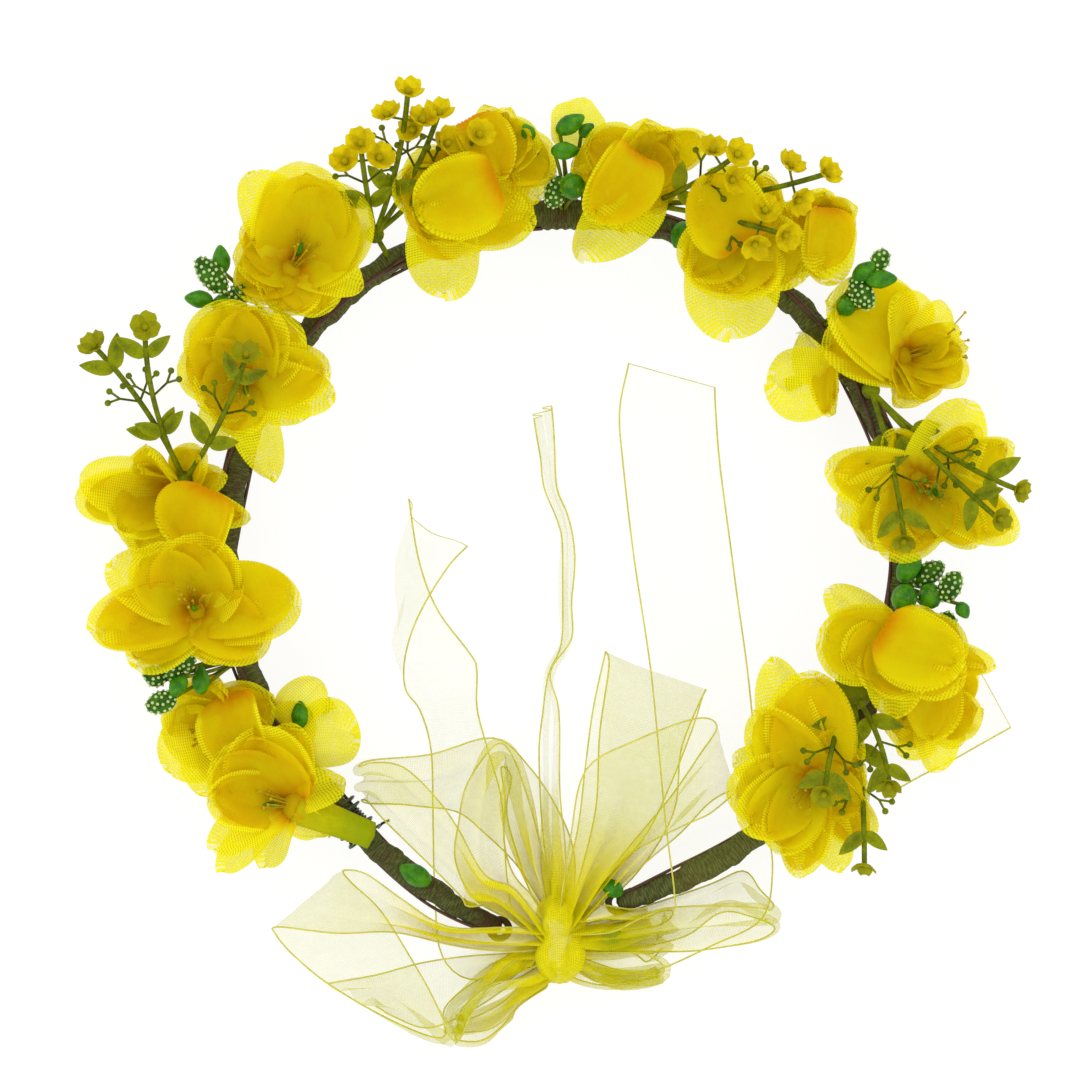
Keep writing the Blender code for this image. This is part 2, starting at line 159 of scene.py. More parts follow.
class Skin:
    """Collects sheets, tubes and beads into one mesh, with the values that its materials read."""

    VALUES = ("along", "rim", "tint", "fullness")

    def __init__(self) -> None:
        """Starts with nothing in the mesh."""
        self.points: list[np.ndarray] = []
        self.faces: list[np.ndarray] = []
        self.slots: list[np.ndarray] = []
        self.uvs: list[np.ndarray] = []
        self.values: dict[str, list[np.ndarray]] = {name: [] for name in self.VALUES}
        self.count = 0

    def grid(self, points: np.ndarray, uv: np.ndarray, slot: int = 0, **values: np.ndarray | float) -> None:
        """Adds a sheet of quads.

        Args:
            points: Rows by columns by 3, in metres.
            uv: Rows by columns by 2, in metres along the cloth.
            slot: The material's place in the piece.
            **values: Named values for the materials, one number or one for each point.
        """
        rows, columns = points.shape[:2]
        index = self.count + np.arange(rows * columns).reshape(rows, columns)
        quads = np.stack([index[:-1, :-1], index[1:, :-1], index[1:, 1:], index[:-1, 1:]],
            axis=-1).reshape(-1, 4)
        self.points.append(points.reshape(-1, 3))
        self.faces.append(quads)
        self.slots.append(np.full(len(quads), slot))
        self.uvs.append(uv.reshape(-1, 2))
        for name in self.VALUES:
            value = np.broadcast_to(np.asarray(values.get(name, 0.0), float), (rows, columns))
            self.values[name].append(value.reshape(-1))
        self.count += rows * columns

    def tube(
        self, path: np.ndarray, radii: np.ndarray, sides: int, slot: int = 0, ribs: int = 0, rib: float = 0.0,
        **values: float
    ) -> None:
        """Adds a round tube along a path, with radii of zero where it closes.

        Args:
            path: Points of the centre line, in metres.
            radii: One radius for each point.
            sides: Faces round the tube.
            slot: The material's place in the piece.
            ribs: How many ridges run along it.
            rib: How deep a ridge is, as a share of the radius.
            **values: Named values for the materials; along is filled in when it isn't given.
        """
        ahead = unit(np.gradient(path, axis=0))
        turn = np.linspace(0, math.tau, sides + 1)
        across = unit(np.cross(ahead[0], (0.3, 0.8, 0.52)))
        rings = []
        for centre, way, radius in zip(path, ahead, radii):
            across = unit(across - (across @ way) * way)
            other = np.cross(way, across)
            wave = 1 + rib * np.cos(ribs * turn)
            spokes = np.outer(np.cos(turn) * wave, across) + np.outer(np.sin(turn) * wave, other)
            rings.append(centre + radius * spokes)
        points = np.array(rings)[:, ::-1]
        length = np.concatenate([[0], np.cumsum(np.linalg.norm(np.diff(path, axis=0), axis=1))])
        uv = np.stack(np.meshgrid(turn * float(np.mean(radii)), length), axis=-1)
        share = np.broadcast_to((length / max(length[-1], 1e-9))[:, None], points.shape[:2])
        self.grid(points, uv, slot, **{"along": share, **values})

    def bead(
        self, centre: np.ndarray, way: np.ndarray, length: float, width: float, slot: int = 0,
        point: float = 0.0, sides: int = 12, **values: float
    ) -> None:
        """Adds an ellipsoid, drawn out at its far end by point from 0 to 1.

        Args:
            centre: Its middle, in metres.
            way: The direction of its long axis.
            length: Its size along way.
            width: Its size across.
            slot: The material's place in the piece.
            point: How pointed its far end is.
            sides: Faces round it.
            **values: Named values for the materials.
        """
        turn = np.linspace(0, math.pi, 11)
        along = -np.cos(turn)
        radii = 0.5 * width * np.sin(turn) * (1 - point * 0.45 * np.clip(along, 0, 1))
        path = centre + np.outer(0.5 * length * along, unit(np.asarray(way, float)))
        radii[0] = radii[-1] = 0.0
        self.tube(path, radii, sides, slot, **values)

    def piece(self, name: str, materials: list[bpy.types.Material]) -> bpy.types.Object:
        """Makes the piece from everything that was added.

        Args:
            name: The piece's name.
            materials: Its materials, in the order of the slots.

        Returns:
            The object, at the origin.
        """
        mesh = bpy.data.meshes.new(name)
        points, faces = np.concatenate(self.points), np.concatenate(self.faces)
        mesh.from_pydata(points.tolist(), [], faces.tolist())
        mesh.polygons.foreach_set("material_index", np.concatenate(self.slots).astype(np.int32))
        layer = mesh.uv_layers.new(name="cloth")
        layer.data.foreach_set("uv", np.concatenate(self.uvs)[faces.ravel()].astype(np.float32).ravel())
        for key, value in self.values.items():
            made = mesh.attributes.new(key, "FLOAT", "POINT")
            made.data.foreach_set("value", np.concatenate(value).astype(np.float32))
        bm = bmesh.new()
        bm.from_mesh(mesh)
        bmesh.ops.remove_doubles(bm, verts=bm.verts, dist=2e-6)
        bmesh.ops.dissolve_degenerate(bm, edges=bm.edges, dist=1e-7)
        bm.to_mesh(mesh)
        bm.free()
        mesh.shade_smooth()
        for material in materials:
            mesh.materials.append(material)
        return show(mesh, name)


# ---- geometry nodes


class NodeBench:
    """Adds nodes to a tree, with their settings and inputs in one call."""

    def __init__(self, tree: bpy.types.NodeTree) -> None:
        """Takes the tree to work on."""
        self.tree = tree

    def add(self, kind: str, inputs: dict | None = None, **settings: object) -> bpy.types.Node:
        """Adds one node.

        Args:
            kind: The node's type.
            inputs: Values or output sockets for its inputs, by name or place.
            **settings: The node's own settings.

        Returns:
            The node.
        """
        node = self.tree.nodes.new(kind)
        for key, value in settings.items():
            setattr(node, key, value)
        for key, value in (inputs or {}).items():
            socket = node.inputs[key]
            if isinstance(value, bpy.types.NodeSocket):
                self.tree.links.new(value, socket)
            else:
                socket.default_value = value
        return node

    def math(self, operation: str, a: object, b: object = 0.5, clamp: bool = False) -> bpy.types.NodeSocket:
        """The result of a sum on one or two values."""
        return self.add("ShaderNodeMath", {0: a, 1: b}, operation=operation, use_clamp=clamp).outputs[0]

    def ramp(self, value: object, low: float, high: float, start: float = 0.0,
            end: float = 1.0) -> bpy.types.NodeSocket:
        """A value eased from start at low to end at high."""
        inputs = {"Value": value, 1: low, 2: high, 3: start, 4: end}
        return self.add("ShaderNodeMapRange", inputs, interpolation_type="SMOOTHSTEP").outputs[0]

    def mix(self, share: object, a: object, b: object, blend: str = "MIX") -> bpy.types.NodeSocket:
        """A colour between two colours.

        Args:
            share: How much of b there is, from 0 to 1.
            a: The first colour, or a socket.
            b: The second colour, or a socket.
            blend: The way they blend.

        Returns:
            The colour's socket.
        """
        node = self.add("ShaderNodeMix", {0: share}, data_type="RGBA", blend_type=blend)
        for key, value in ((6, a), (7, b)):
            if isinstance(value, bpy.types.NodeSocket):
                self.tree.links.new(value, node.inputs[key])
            else:
                node.inputs[key].default_value = (*value, 1.0)
        return node.outputs[2]


class GeometryRule:
    """A tree of geometry nodes with named inputs, run on an object and turned into a plain mesh."""

    def __init__(self, name: str, inputs: dict[str, str]) -> None:
        """Makes the tree's sockets.

        Args:
            name: The tree's name.
            inputs: Socket types by input name.
        """
        self.tree = bpy.data.node_groups.new(name, "GeometryNodeTree")
        face = self.tree.interface
        face.new_socket("Geometry", in_out="INPUT", socket_type="NodeSocketGeometry")
        face.new_socket("Geometry", in_out="OUTPUT", socket_type="NodeSocketGeometry")
        self.keys = {key: face.new_socket(key, in_out="INPUT", socket_type=kind).identifier for key,
            kind in inputs.items()}
        self.bench = NodeBench(self.tree)
        self.start = self.bench.add("NodeGroupInput").outputs
        self.build()

    def build(self) -> None:
        """Adds the tree's nodes."""
        raise NotImplementedError

    def close(self, geometry: bpy.types.NodeSocket) -> None:
        """Ends the tree: real meshes, smooth, in the material that the input names.

        Args:
            geometry: What the tree has made.
        """
        real = self.bench.add("GeometryNodeRealizeInstances", {0: geometry}).outputs[0]
        smooth = self.bench.add("GeometryNodeSetShadeSmooth", {"Geometry": real}).outputs[0]
        dressed = self.bench.add("GeometryNodeSetMaterial",
            {"Geometry": smooth, "Material": self.start["Material"]})
        self.bench.add("NodeGroupOutput", {0: dressed.outputs[0]})

    def run(self, source: bpy.types.Object, name: str, **values: object) -> bpy.types.Object:
        """Runs the tree on an object and keeps the result as a plain mesh.

        Args:
            source: The object to run on, which is removed.
            name: The new piece's name.
            **values: The tree's inputs, with _ for a space.

        Returns:
            The new object.
        """
        modifier = source.modifiers.new("rule", "NODES")
        modifier.node_group = self.tree
        for key, value in values.items():
            modifier[self.keys[key.replace("_", " ")]] = value
        graph = bpy.context.evaluated_depsgraph_get()
        mesh = bpy.data.meshes.new_from_object(source.evaluated_get(graph), depsgraph=graph)
        mesh.name = name
        source.modifiers.remove(modifier)
        bpy.data.objects.remove(source)
        return show(mesh, name)


class Sweep(GeometryRule):
    """Round stems, threads and wires along paths, with a ball on each far end where its radius isn't zero."""

    def __init__(self) -> None:
        """Makes the tree."""
        kinds = {"Sides": "NodeSocketInt", "Ball Radius": "NodeSocketFloat", "Material": "NodeSocketMaterial"}
        super().__init__("stem_sweep", kinds)

    def build(self) -> None:
        """Adds the tree's nodes."""
        add = self.bench.add
        ring = add("GeometryNodeCurvePrimitiveCircle", {"Resolution": self.start["Sides"], "Radius": 1.0})
        radius = add("GeometryNodeInputRadius").outputs[0]
        inputs = {"Curve": self.start["Geometry"], "Profile Curve": ring.outputs[0], "Scale": radius,
            "Fill Caps": True}
        stems = add("GeometryNodeCurveToMesh", inputs).outputs[0]
        ends = add("GeometryNodeCurveEndpointSelection", {"Start Size": 0, "End Size": 1}).outputs[0]
        ball = add("GeometryNodeMeshIcoSphere",
            {"Radius": self.start["Ball Radius"], "Subdivisions": 2}).outputs[0]
        balls = add("GeometryNodeInstanceOnPoints",
            {"Points": self.start["Geometry"], "Selection": ends, "Instance": ball})
        wanted = self.bench.math("GREATER_THAN", self.start["Ball Radius"], 1e-6)
        switch = add("GeometryNodeSwitch", {"Switch": wanted, "True": balls.outputs[0]},
            input_type="GEOMETRY")
        both = add("GeometryNodeJoinGeometry")
        self.bench.tree.links.new(switch.outputs[0], both.inputs[0])
        self.bench.tree.links.new(stems, both.inputs[0])
        self.close(both.outputs[0])

    def along(
        self, name: str, paths: list[np.ndarray], radii: list[float] | list[np.ndarray],
        material: bpy.types.Material, sides: int = 6, ball: float = 0.0
    ) -> bpy.types.Object:
        """Makes one piece of tubes along paths.

        Args:
            name: The piece's name.
            paths: The centre lines, in metres.
            radii: A radius, or one for each point, for each path.
            material: The finish.
            sides: Faces round each tube.
            ball: Radius of a ball on each far end, or zero.

        Returns:
            The piece.
        """
        curve = bpy.data.curves.new(name + "_paths", "CURVE")
        curve.dimensions = "3D"
        for path, radius in zip(paths, radii):
            spline = curve.splines.new("POLY")
            spline.points.add(len(path) - 1)
            spline.points.foreach_set("co", np.column_stack([path,
                np.ones(len(path))]).astype(np.float32).ravel())
            spline.points.foreach_set("radius", np.broadcast_to(radius, len(path)).astype(np.float32))
        return self.run(show(curve, name + "_paths"), name, Sides=sides, Ball_Radius=ball, Material=material)


class Dots(GeometryRule):
    """Small raised dots spread evenly over a surface."""

    def __init__(self) -> None:
        """Makes the tree."""
        kinds = {
            "Spacing": "NodeSocketFloat",
            "Dot Radius": "NodeSocketFloat",
            "Seed": "NodeSocketInt",
            "Material": "NodeSocketMaterial",
        }
        super().__init__("berry_dots", kinds)

    def build(self) -> None:
        """Adds the tree's nodes."""
        add, start = self.bench.add, self.start
        inputs = {"Mesh": start["Geometry"], "Distance Min": start["Spacing"], "Density Max": 3e6,
            "Seed": start["Seed"]}
        spots = add("GeometryNodeDistributePointsOnFaces", inputs, distribute_method="POISSON")
        dot = add("GeometryNodeMeshIcoSphere", {"Radius": start["Dot Radius"], "Subdivisions": 1}).outputs[0]
        dots = add("GeometryNodeInstanceOnPoints",
            {"Points": spots.outputs[0], "Instance": dot, "Rotation": spots.outputs["Rotation"]})
        self.close(dots.outputs[0])


# ---- shared shader effects


class Effects:
    """Shader node groups that several finishes share."""

    def __init__(self) -> None:
        """Builds the groups once."""
        self.gauze = self._gauze()
        self.mottle = self._mottle()

    @staticmethod
    def _group(name: str, inputs: dict[str, tuple[str, object]],
            outputs: dict[str, str]) -> tuple[bpy.types.NodeTree, NodeBench]:
        """A new shader group with its sockets.

        Args:
            name: The group's name.
            inputs: Socket type and default by input name.
            outputs: Socket type by output name.

        Returns:
            The group and a bench to fill it with.
        """
        tree = bpy.data.node_groups.new(name, "ShaderNodeTree")
        for key, (kind, value) in inputs.items():
            socket = tree.interface.new_socket(key, in_out="INPUT", socket_type=kind)
            if value is not None:
                socket.default_value = value
        for key, kind in outputs.items():
            tree.interface.new_socket(key, in_out="OUTPUT", socket_type=kind)
        return tree, NodeBench(tree)

    def _gauze(self) -> bpy.types.NodeTree:
        """Open plain weave: how much thread covers each spot, and how high it stands.

        Returns:
            The node group.
        """
        numbers = {"Pitch": 0.0008, "Warp Share": 0.6, "Openness": 0.5, "Wobble": 0.4}
        inputs = {"Cloth": ("NodeSocketVector", None),
            **{key: ("NodeSocketFloat", value) for key, value in numbers.items()}}
        tree, bench = self._group("open_gauze", inputs,
            {"Cover": "NodeSocketFloat", "Height": "NodeSocketFloat"})
        start = bench.add("NodeGroupInput").outputs
        drift = bench.add("ShaderNodeTexNoise",
            {"Vector": start["Cloth"], "Scale": 70.0, "Detail": 1.0}).outputs[0]
        patch = bench.add("ShaderNodeTexNoise",
            {"Vector": start["Cloth"], "Scale": 420.0, "Detail": 2.0}).outputs[0]
        place = bench.add("ShaderNodeSeparateXYZ", {0: start["Cloth"]}).outputs
        shift = bench.math("MULTIPLY", bench.math("SUBTRACT", drift, 0.5),
            bench.math("MULTIPLY", start["Wobble"], 10.0))
        waves = []
        for axis, pitch in ((1, start["Pitch"]),
                (0, bench.math("MULTIPLY", start["Pitch"], start["Warp Share"]))):
            turns = bench.math("ADD", bench.math("DIVIDE", place[axis], pitch), shift)
            wave = bench.math("SINE", bench.math("MULTIPLY", turns, math.tau))
            waves.append(bench.ramp(wave, -0.9, 0.9))
        weft, warp = waves
        gap = bench.math("MULTIPLY", bench.math("SUBTRACT", 1.0, weft), bench.ramp(warp, 0.0, 1.0, 1.0, 0.35))
        gap = bench.math("MULTIPLY", gap, bench.ramp(patch, 0.38, 0.6, 0.6, 1.0))
        cover = bench.math("SUBTRACT", 1.0, bench.math("MULTIPLY", gap, start["Openness"]), clamp=True)
        height = bench.math("MAXIMUM", weft, bench.math("MULTIPLY", warp, 0.7))
        bench.add("NodeGroupOutput", {"Cover": cover, "Height": height})
        return tree

    def _mottle(self) -> bpy.types.NodeTree:
        """Soft uneven patches with fine grain over them.

        Returns:
            The node group.
        """
        inputs = {
            "Place": ("NodeSocketVector", None),
            "Patch Size": ("NodeSocketFloat", 0.006),
            "Grain Size": ("NodeSocketFloat", 0.0006),
            "Grain Share": ("NodeSocketFloat", 0.3),
        }
        tree, bench = self._group("mottle", inputs, {"Value": "NodeSocketFloat"})
        start = bench.add("NodeGroupInput").outputs
        scales = [bench.math("DIVIDE", 1.0, start[key]) for key in ("Patch Size", "Grain Size")]
        patch, grain = [
            bench.add("ShaderNodeTexNoise", {"Vector": start["Place"], "Scale": scale,
            "Detail": 3.0}).outputs[0] for scale in scales
        ]
        rest = bench.math("SUBTRACT", 1.0, start["Grain Share"])
        value = bench.math("ADD", bench.math("MULTIPLY", patch, rest),
            bench.math("MULTIPLY", grain, start["Grain Share"]))
        bench.add("NodeGroupOutput", {"Value": value})
        return tree


# ---- finishes


@dataclass(frozen=True)
class Finish:
    """A finish: its name, its plain sizes and what every finish shares."""

    name: str
    roughness: float = 0.7
    specular: float = 0.15

    def begin(self) -> tuple[bpy.types.Material, NodeBench, bpy.types.Node]:
        """A new material with its shader and no links.

        Returns:
            The material, a bench on its tree and its Principled node.
        """
        material = bpy.data.materials.new(self.name)
        material.use_nodes = True
        bench = NodeBench(material.node_tree)
        shader = material.node_tree.nodes["Principled BSDF"]
        shader.inputs["Roughness"].default_value = self.roughness
        shader.inputs["Specular IOR Level"].default_value = self.specular
        return material, bench, shader

    @staticmethod
    def value(bench: NodeBench, name: str) -> bpy.types.NodeSocket:
        """The value that the mesh holds under a name."""
        return bench.add("ShaderNodeAttribute", attribute_name=name).outputs["Fac"]

    @staticmethod
    def bump(bench: NodeBench, shader: bpy.types.Node, height: bpy.types.NodeSocket, depth: float,
            strength: float) -> None:
        """Raises the surface by a height pattern."""
        node = bench.add("ShaderNodeBump", {"Height": height, "Distance": depth, "Strength": strength})
        bench.tree.links.new(node.outputs[0], shader.inputs["Normal"])

    @staticmethod
    def let_light_through(bench: NodeBench, shader: bpy.types.Node, colour: bpy.types.NodeSocket,
            share: float) -> None:
        """Mixes in light that comes through the cloth from behind.

        Args:
            bench: The material's bench.
            shader: The cloth's own shader.
            colour: The colour of the light that comes through.
            share: How much of it there is, from 0 to 1.
        """
        glow = bench.add("ShaderNodeBsdfTranslucent", {"Color": colour})
        both = bench.add("ShaderNodeMixShader", {0: share, 1: shader.outputs[0], 2: glow.outputs[0]})
        out = next(node for node in bench.tree.nodes if node.type == "OUTPUT_MATERIAL")
        bench.tree.links.new(both.outputs[0], out.inputs["Surface"])


@dataclass(frozen=True)
class PetalCloth(Finish):
    """Thin yellow gauze: open weave, an orange throat, frayed rims, painted light that makes its rims and
    single layers lighter, painted shade in the weave's hollows, and light from behind.
    """

    lemon: Colour = (0.86, 0.77, 0.003)
    gold: Colour = (0.84, 0.58, 0.001)
    throat: Colour = (0.86, 0.40, 0.001)
    # painted light: the brighter colour of cloth with light shining through a single layer
    one_layer_glow: Colour = (1.0, 0.94, 0.01)
    openness: float = 0.66
    behind: float = 0.5

    def material(self, effects: Effects) -> bpy.types.Material:
        """Makes the material of this finish.

        Args:
            effects: The shader node groups to use.

        Returns:
            The material.
        """
        material, bench, shader = self.begin()
        cloth = bench.add("ShaderNodeUVMap", uv_map="cloth").outputs[0]
        along, rim, tint, layers = (self.value(bench, name) for name in ("along", "rim", "tint", "fullness"))
        patches = bench.add("ShaderNodeGroup", {"Place": cloth, "Patch Size": 0.009},
            node_tree=effects.mottle).outputs[0]
        tone = bench.math("ADD", bench.math("MULTIPLY", tint, 0.55),
            bench.ramp(patches, 0.35, 0.65, -0.2, 0.35), clamp=True)
        colour = bench.mix(tone, self.lemon, self.gold)
        # painted light: where the cloth is one layer thin (the rims of dense petals and all of sheer petals)
        # its colour is lifted towards the glow of light passing through it
        colour = bench.mix(bench.ramp(layers, 0.0, 0.6, 1.0, 0.0), colour, self.one_layer_glow)
        colour = bench.mix(bench.math("MULTIPLY", bench.ramp(along, 0.42, 0.05), 0.85), colour, self.throat)
        openness = bench.math("MULTIPLY", bench.ramp(along, 0.2, 0.7, 0.3, 1.0),
            bench.ramp(layers, 0.0, 1.0, self.openness, 0.02))
        inputs = {"Cloth": cloth, "Pitch": 0.0006, "Warp Share": 1.25, "Openness": openness, "Wobble": 0.2}
        weave = bench.add("ShaderNodeGroup", inputs, node_tree=effects.gauze).outputs
        frayed = bench.math("MULTIPLY", bench.ramp(rim, 0.955, 1.0),
            bench.math("SUBTRACT", 1.0, weave["Height"]))
        cover = bench.math("SUBTRACT", weave["Cover"], frayed, clamp=True)
        bench.tree.links.new(cover, shader.inputs["Alpha"])
        # painted shade: the hollows between the threads are darkened, by up to 12 % on sheer cloth and hardly
        # at all on dense cloth
        weave_hollow_shade = bench.math("MULTIPLY", bench.math("SUBTRACT", 1.0, weave["Height"]),
            bench.ramp(layers, 0.0, 1.0, 0.12, 0.008))
        dark = bench.math("SUBTRACT", 1.0, weave_hollow_shade)
        shade = bench.add("ShaderNodeCombineColor", {0: dark, 1: dark, 2: dark}).outputs[0]
        colour = bench.mix(1.0, colour, shade, "MULTIPLY")
        bench.tree.links.new(colour, shader.inputs["Base Color"])
        self.bump(bench, shader, patches, 0.0003, 0.35)
        self.let_light_through(bench, shader, colour, self.behind)
        return material


@dataclass(frozen=True)
class TubeCloth(Finish):
    """The blossom's funnel: yellow at the mouth and green at the foot, with fine ribs."""

    mouth: Colour = (0.66, 0.62, 0.003)
    foot: Colour = (0.42, 0.50, 0.004)
    throat: Colour = (0.74, 0.50, 0.001)
    behind: float = 0.3

    def material(self, effects: Effects) -> bpy.types.Material:
        """Makes the material of this finish.

        Args:
            effects: The shader node groups to use.

        Returns:
            The material.
        """
        material, bench, shader = self.begin()
        place = bench.add("ShaderNodeTexCoord").outputs["Object"]
        patches = bench.add("ShaderNodeGroup", {"Place": place, "Patch Size": 0.004},
            node_tree=effects.mottle).outputs[0]
        share = bench.math("ADD", self.value(bench, "along"), bench.ramp(patches, 0.3, 0.7, -0.18, 0.18))
        colour = bench.mix(bench.ramp(share, 0.1, 0.75), self.foot, self.mouth)
        colour = bench.mix(bench.ramp(self.value(bench, "along"), 0.93, 1.0), colour, self.throat)
        bench.tree.links.new(colour, shader.inputs["Base Color"])
        cloth = bench.add("ShaderNodeUVMap", uv_map="cloth").outputs[0]
        inputs = {"Cloth": cloth, "Pitch": 0.0007, "Openness": 0.0, "Wobble": 0.1}
        weave = bench.add("ShaderNodeGroup", inputs, node_tree=effects.gauze).outputs
        self.bump(bench, shader, weave["Height"], 0.0001, 0.6)
        self.let_light_through(bench, shader, colour, self.behind)
        return material


@dataclass(frozen=True)
class Plastic(Finish):
    """Soft moulded plastic: two tones in patches, a lighter rim and fine grain."""

    light: Colour = (0.3, 0.4, 0.02)
    dark: Colour = (0.1, 0.15, 0.01)
    tip: Colour = (0.5, 0.45, 0.01)
    patch: float = 0.004
    depth: float = 0.0001
    behind: float = 0.0

    def material(self, effects: Effects) -> bpy.types.Material:
        """Makes the material of this finish.

        Args:
            effects: The shader node groups to use.

        Returns:
            The material.
        """
        material, bench, shader = self.begin()
        place = bench.add("ShaderNodeTexCoord").outputs["Object"]
        inputs = {"Place": place, "Patch Size": self.patch, "Grain Size": self.patch / 8}
        patches = bench.add("ShaderNodeGroup", inputs, node_tree=effects.mottle).outputs[0]
        colour = bench.mix(bench.ramp(patches, 0.36, 0.64), self.dark, self.light)
        colour = bench.mix(self.value(bench, "tint"), colour, self.tip)
        bench.tree.links.new(colour, shader.inputs["Base Color"])
        rough = bench.ramp(patches, 0.3, 0.7, self.roughness - 0.08, self.roughness + 0.1)
        bench.tree.links.new(rough, shader.inputs["Roughness"])
        self.bump(bench, shader, patches, self.depth, 0.6)
        if self.behind:
            self.let_light_through(bench, shader, colour, self.behind)
        return material


@dataclass(frozen=True)
class WrappedTape(Finish):
    """Crepe floral tape: dark olive, streaked along the wrap, with crinkles and browner wear."""

    olive: Colour = (0.055, 0.062, 0.016)
    pale: Colour = (0.135, 0.15, 0.05)
    brown: Colour = (0.075, 0.035, 0.02)

    def material(self, effects: Effects) -> bpy.types.Material:
        """Makes the material of this finish.

        Args:
            effects: The shader node groups to use.

        Returns:
            The material.
        """
        material, bench, shader = self.begin()
        cloth = bench.add("ShaderNodeUVMap", uv_map="cloth").outputs[0]
        place = bench.add("ShaderNodeTexCoord").outputs["Object"]
        stretch = bench.add("ShaderNodeMapping",
            {"Vector": cloth, "Rotation": (0.0, 0.0, 0.6), "Scale": (1.0, 6.0, 1.0)})
        streaks = bench.add("ShaderNodeTexNoise",
            {"Vector": stretch.outputs[0], "Scale": 420.0, "Detail": 4.0}).outputs[0]
        patches = bench.add("ShaderNodeGroup", {"Place": place, "Patch Size": 0.012},
            node_tree=effects.mottle).outputs[0]
        colour = bench.mix(bench.ramp(streaks, 0.38, 0.68), self.olive, self.pale)
        colour = bench.mix(bench.ramp(patches, 0.52, 0.66, 0.0, 0.8), colour, self.brown)
        bench.tree.links.new(colour, shader.inputs["Base Color"])
        self.bump(bench, shader, streaks, 0.0003, 0.8)
        return material


@dataclass(frozen=True)
class Organza(Finish):
    """Sheer ribbon: a very fine even weave, denser and yellower where it is gathered."""

    thin: Colour = (0.62, 0.62, 0.002)
    thick: Colour = (0.80, 0.72, 0.001)

    def material(self, effects: Effects) -> bpy.types.Material:
        """Makes the material of this finish.

        Args:
            effects: The shader node groups to use.

        Returns:
            The material.
        """
        material, bench, shader = self.begin()
        cloth = bench.add("ShaderNodeUVMap", uv_map="cloth").outputs[0]
        density = self.value(bench, "fullness")
        inputs = {"Cloth": cloth, "Pitch": 0.00042, "Warp Share": 1.0, "Openness": 0.6, "Wobble": 0.03}
        weave = bench.add("ShaderNodeGroup", inputs, node_tree=effects.gauze).outputs
        patches = bench.add("ShaderNodeGroup", {"Place": cloth, "Patch Size": 0.01},
            node_tree=effects.mottle).outputs[0]
        colour = bench.mix(bench.ramp(density, 0.1, 0.75), self.thin, self.thick)
        bench.tree.links.new(colour, shader.inputs["Base Color"])
        uneven = bench.ramp(patches, 0.3, 0.7, 0.85, 1.15)
        cover = bench.math("MULTIPLY", bench.math("MULTIPLY", density, weave["Cover"]), uneven, clamp=True)
        bench.tree.links.new(cover, shader.inputs["Alpha"])
        self.bump(bench, shader, weave["Height"], 0.00004, 0.3)
        return material


@dataclass(frozen=True)
class Lightbox(Finish):
    """The pale floor: matt white with a trace of unevenness, which glows softly."""

    glow: float = 0.84

    def material(self, effects: Effects) -> bpy.types.Material:
        """Makes the material of this finish.

        Args:
            effects: The shader node groups to use.

        Returns:
            The material.
        """
        material, bench, shader = self.begin()
        place = bench.add("ShaderNodeTexCoord").outputs["Object"]
        patches = bench.add("ShaderNodeGroup", {"Place": place, "Patch Size": 0.2},
            node_tree=effects.mottle).outputs[0]
        colour = bench.mix(bench.ramp(patches, 0.3, 0.7), (0.19, 0.19, 0.19), (0.21, 0.21, 0.21))
        bench.tree.links.new(colour, shader.inputs["Base Color"])
        shader.inputs["Emission Color"].default_value = (1.0, 1.0, 1.0, 1.0)
        shader.inputs["Emission Strength"].default_value = self.glow
        return material


class Wardrobe:
    """Every finish of the crown, made once."""

    def __init__(self) -> None:
        """Makes the materials."""
        effects = Effects()
        self.petal = PetalCloth("petal_gauze", 0.85, 0.06).material(effects)
        self.tube = TubeCloth("blossom_tube_cloth", 0.8, 0.08).material(effects)
        self.filament = Plastic(
            "filament_thread", 0.7, 0.1, light=(0.72, 0.55, 0.01), dark=(0.6, 0.40, 0.005),
            tip=(0.75, 0.6, 0.02), patch=0.002, behind=0.3
        ).material(effects)
        self.pip = Plastic(
            "pip_plastic", 0.4, 0.22, light=(0.08, 0.30, 0.003), dark=(0.02, 0.14, 0.001),
            tip=(0.2, 0.3, 0.02), patch=0.003
        ).material(effects)
        self.leaf = Plastic(
            "sprig_leaf", 0.5, 0.12, light=(0.27, 0.32, 0.002), dark=(0.12, 0.16, 0.002),
            tip=(0.50, 0.46, 0.004), behind=0.3
        ).material(effects)
        self.floret = Plastic(
            "sprig_floret", 0.6, 0.08, light=(0.85, 0.70, 0.002), dark=(0.66, 0.52, 0.001),
            tip=(0.50, 0.46, 0.004), patch=0.003, behind=0.4
        ).material(effects)
        self.berry = Plastic(
            "berry_dark", 0.5, 0.15, light=(0.055, 0.18, 0.003), dark=(0.015, 0.07, 0.001),
            tip=(0.1, 0.25, 0.02), patch=0.003
        ).material(effects)
        self.dot = Plastic(
            "berry_dot", 0.5, 0.2, light=(0.60, 0.72, 0.34), dark=(0.36, 0.52, 0.14), tip=(0.7, 0.8, 0.5),
            patch=0.002
        ).material(effects)
        self.tape = WrappedTape("crepe_tape", 0.8, 0.1).material(effects)
        self.wire = Plastic(
            "binding_wire_paint", 0.4, 0.4, light=(0.06, 0.075, 0.03), dark=(0.02, 0.026, 0.01),
            tip=(0.1, 0.1, 0.05), patch=0.002
        ).material(effects)
        self.strand = Plastic(
            "brown_strand", 0.5, 0.3, light=(0.12, 0.05, 0.03), dark=(0.05, 0.02, 0.012),
            tip=(0.2, 0.1, 0.05), patch=0.004
        ).material(effects)
        self.organza = Organza("organza_ribbon", 0.6, 0.1).material(effects)
        self.selvage = Plastic(
            "selvage_thread", 0.6, 0.1, light=(0.88, 0.85, 0.20), dark=(0.78, 0.75, 0.12),
            tip=(0.9, 0.86, 0.2), patch=0.006, behind=0.5
        ).material(effects)
        self.floor = Lightbox("lightbox_white", 0.9, 0.0).material(effects)


# ---- places on the CAD model


